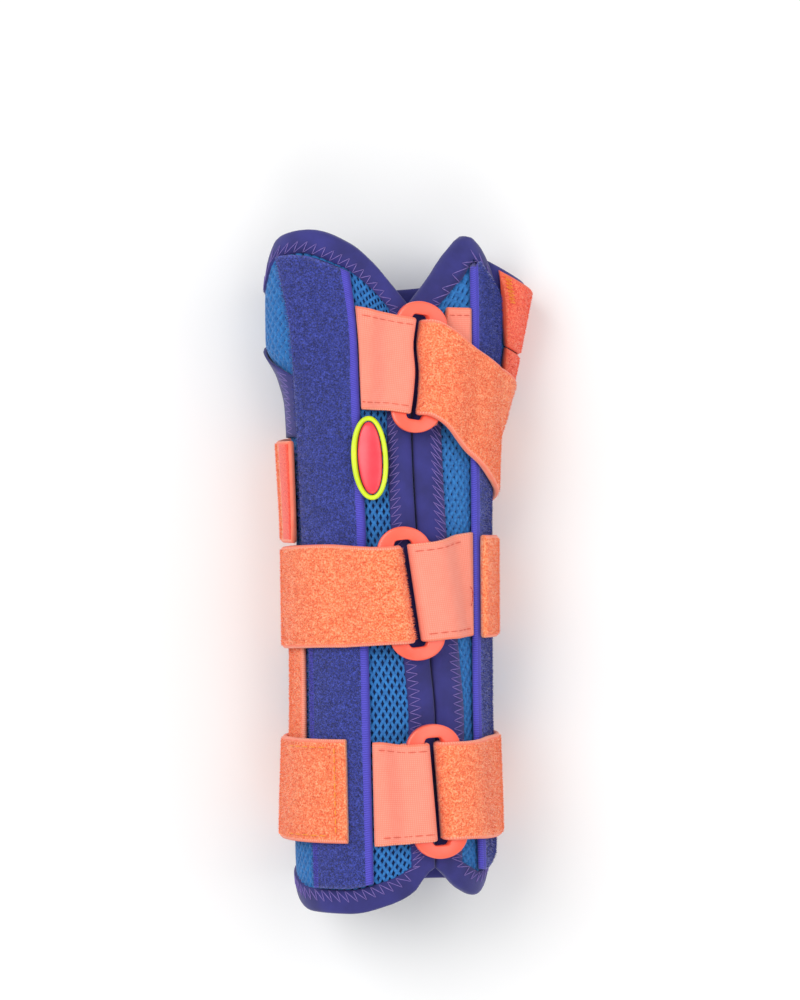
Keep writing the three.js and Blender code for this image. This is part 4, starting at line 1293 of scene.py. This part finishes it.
def stitchThumb():
    place = laid["upperThumb"][0]
    bars = bmesh.new()
    across = np.linspace(9.4, 2.6, 15)
    down = np.where(np.arange(15) % 2 == 0, 1.2, 4.6)
    addThread(bars, place(across, down, 1.4), stitching["fine"])
    finishPiece(bars, "thumbStitches", ["orangeThread"])


stitchThumb()

# The band of tape at the waist, with its own zigzag: ends as shares of half the length
waist = {
    "low": 0.388, "outerTop": 0.689, "innerTop": 0.563, "outerTurn": 204,
    "thickness": 0.9, "flat": (20, 27), "gap": 0.3,
    "zigzag": (2, 6),  # how far in from the inner edge it turns
}


def makeSideTape():
    width, length = waist["flat"]

    def place(across, down, height):
        i = 0.5 + across / width
        j = down / length
        top = waist["outerTop"] + (waist["innerTop"] - waist["outerTop"]) * i
        y = (waist["low"] + (top - waist["low"]) * j) * halfLength
        inner = ulnarOuter(y) + turnOf(waist["gap"], y)
        turn = waist["outerTurn"] + (inner - waist["outerTurn"]) * i
        return wrapPoint(turn, y, pile["lift"] + waist["thickness"] * height)

    bm = makeSlab(width, length, waist["thickness"], 1.5, place, rim=0.6)
    band = finishPiece(bm, "waistTape", ["edgeTape", "edgeTape"], ["binding_side"])
    threads = bmesh.new()
    turns = 2 * round(length / tape["zigzagPitch"])
    down = np.linspace(1, length - 1, turns + 1)
    across = width / 2 - np.where(np.arange(turns + 1) % 2 == 0, *waist["zigzag"])
    addThread(threads, place(across, down, 1.1), tape["thread"])
    zigzag = finishPiece(threads, "waistZigzag", ["mauveThread"])


makeSideTape()

# The badge: an oval rim round a bare domed field, on the ulnar strip
badge = {
    "length": 25.2, "width": 10.4, "rim": 1.5, "rimHigh": 1.9, "field": 1.3, "dome": 0.35,
    "tilt": -3, "across": -7.6, "along": 33.4, "square": 2.1, "foot": 2.7, "gap": 0.3,
    "rimSquare": 0.75,  # below 1 the rim's section is squarer than round
    # rings of the field from its edge in: share of the way out, and share of its height
    "fieldRings": [
        (1, 0), (1, 0.75), (0.96, 0.95), (0.88, 1), (0.7, 1), (0.5, 1), (0.3, 1), (0.12, 1), (0, 1),
    ],
}


def makeBadge():
    spot = tiltedFrame(badge["across"], badge["along"], badge["tilt"], 0)[1]

    # A point of the badge at a share round it, in from its edge and then drawn to its middle by a share
    def place(round_, inset, drawn, high):
        over, up = oval(round_, badge["width"] - 2 * inset, badge["length"] - 2 * inset, badge["square"])
        return wrapPoint(*spot(over * drawn, up * drawn), badge["foot"] + high)

    around, section = 96, 12
    rim = flatPattern(np.arange(around + 1), np.arange(section + 1))

    def placeRim(x, y, _):
        aside, up = squared(y / section, badge["rimSquare"])
        inset = (0.5 - 0.5 * aside) * badge["rim"]
        return place(x / around, inset, 1, (0.5 + 0.5 * up) * badge["rimHigh"])

    shape(rim, placeRim)
    sew(rim)
    finishPiece(rim, "badgeRim", ["badgeRim"], ["badge_rim"])
    outward, rise = np.array(badge["fieldRings"]).T
    rows = np.arange(len(rise))
    field = flatPattern(np.arange(around + 1), rows)

    def placeField(x, y, _):
        drawn = np.interp(y, rows, outward)
        high = np.interp(y, rows, rise) * badge["field"] + badge["dome"] * (1 - drawn ** 2)
        return place(x / around, badge["rim"] + badge["gap"], drawn, high)

    shape(field, placeField)
    sew(field)
    finishPiece(field, "badgeField", ["badgeField"], ["badge_field"])


print("badge")
makeBadge()


# Floor, lights and camera, in metres: each light's name, place, size and power
studio = {
    "lights": [
        ("keyLight", (-0.7, 0.5, 1.3), 0.9, 11),
        ("fillLight", (0.8, 0.2, 1.2), 1.1, 6.3),
        ("endLight", (0.1, -1.0, 1.1), 0.9, 4),
    ],
    "world": 0.5,
    "floor": 6,
    "lens": 108,
    "camera": (0.0006, 0.02085, 0.945),
}


def makeStage():
    bpy.context.scene.view_settings.view_transform = "Standard"
    bpy.ops.mesh.primitive_plane_add(size=studio["floor"])
    floor = bpy.context.object
    floor.name = "studioFloor"
    paper = makeSmooth("studioFloorPaper", "#f4f4f4", "#f8f8f8", 400, 20, 0.01, {"Roughness": 0.9})
    floor.data.materials.append(paper)
    world = bpy.data.worlds.new("studio")
    bpy.context.scene.world = world
    world.use_nodes = True
    sky = world.node_tree.nodes["Background"]
    sky.inputs["Color"].default_value = (1, 1, 1, 1)
    sky.inputs["Strength"].default_value = studio["world"]
    for name, spot, size, power in studio["lights"]:
        lamp = bpy.data.lights.new(name, "AREA")
        lamp.size = size
        lamp.energy = power
        light = bpy.data.objects.new(name, lamp)
        bpy.context.scene.collection.objects.link(light)
        light.location = spot
        light.rotation_euler = (-Vector(spot)).to_track_quat("-Z", "Y").to_euler()


def makeCamera():
    lens = bpy.data.cameras.new("studioCamera")
    lens.lens = studio["lens"]
    camera = bpy.data.objects.new("studioCamera", lens)
    bpy.context.scene.collection.objects.link(camera)
    camera.location = studio["camera"]
    bpy.context.scene.camera = camera


print("stage")
makeStage()
makeCamera()
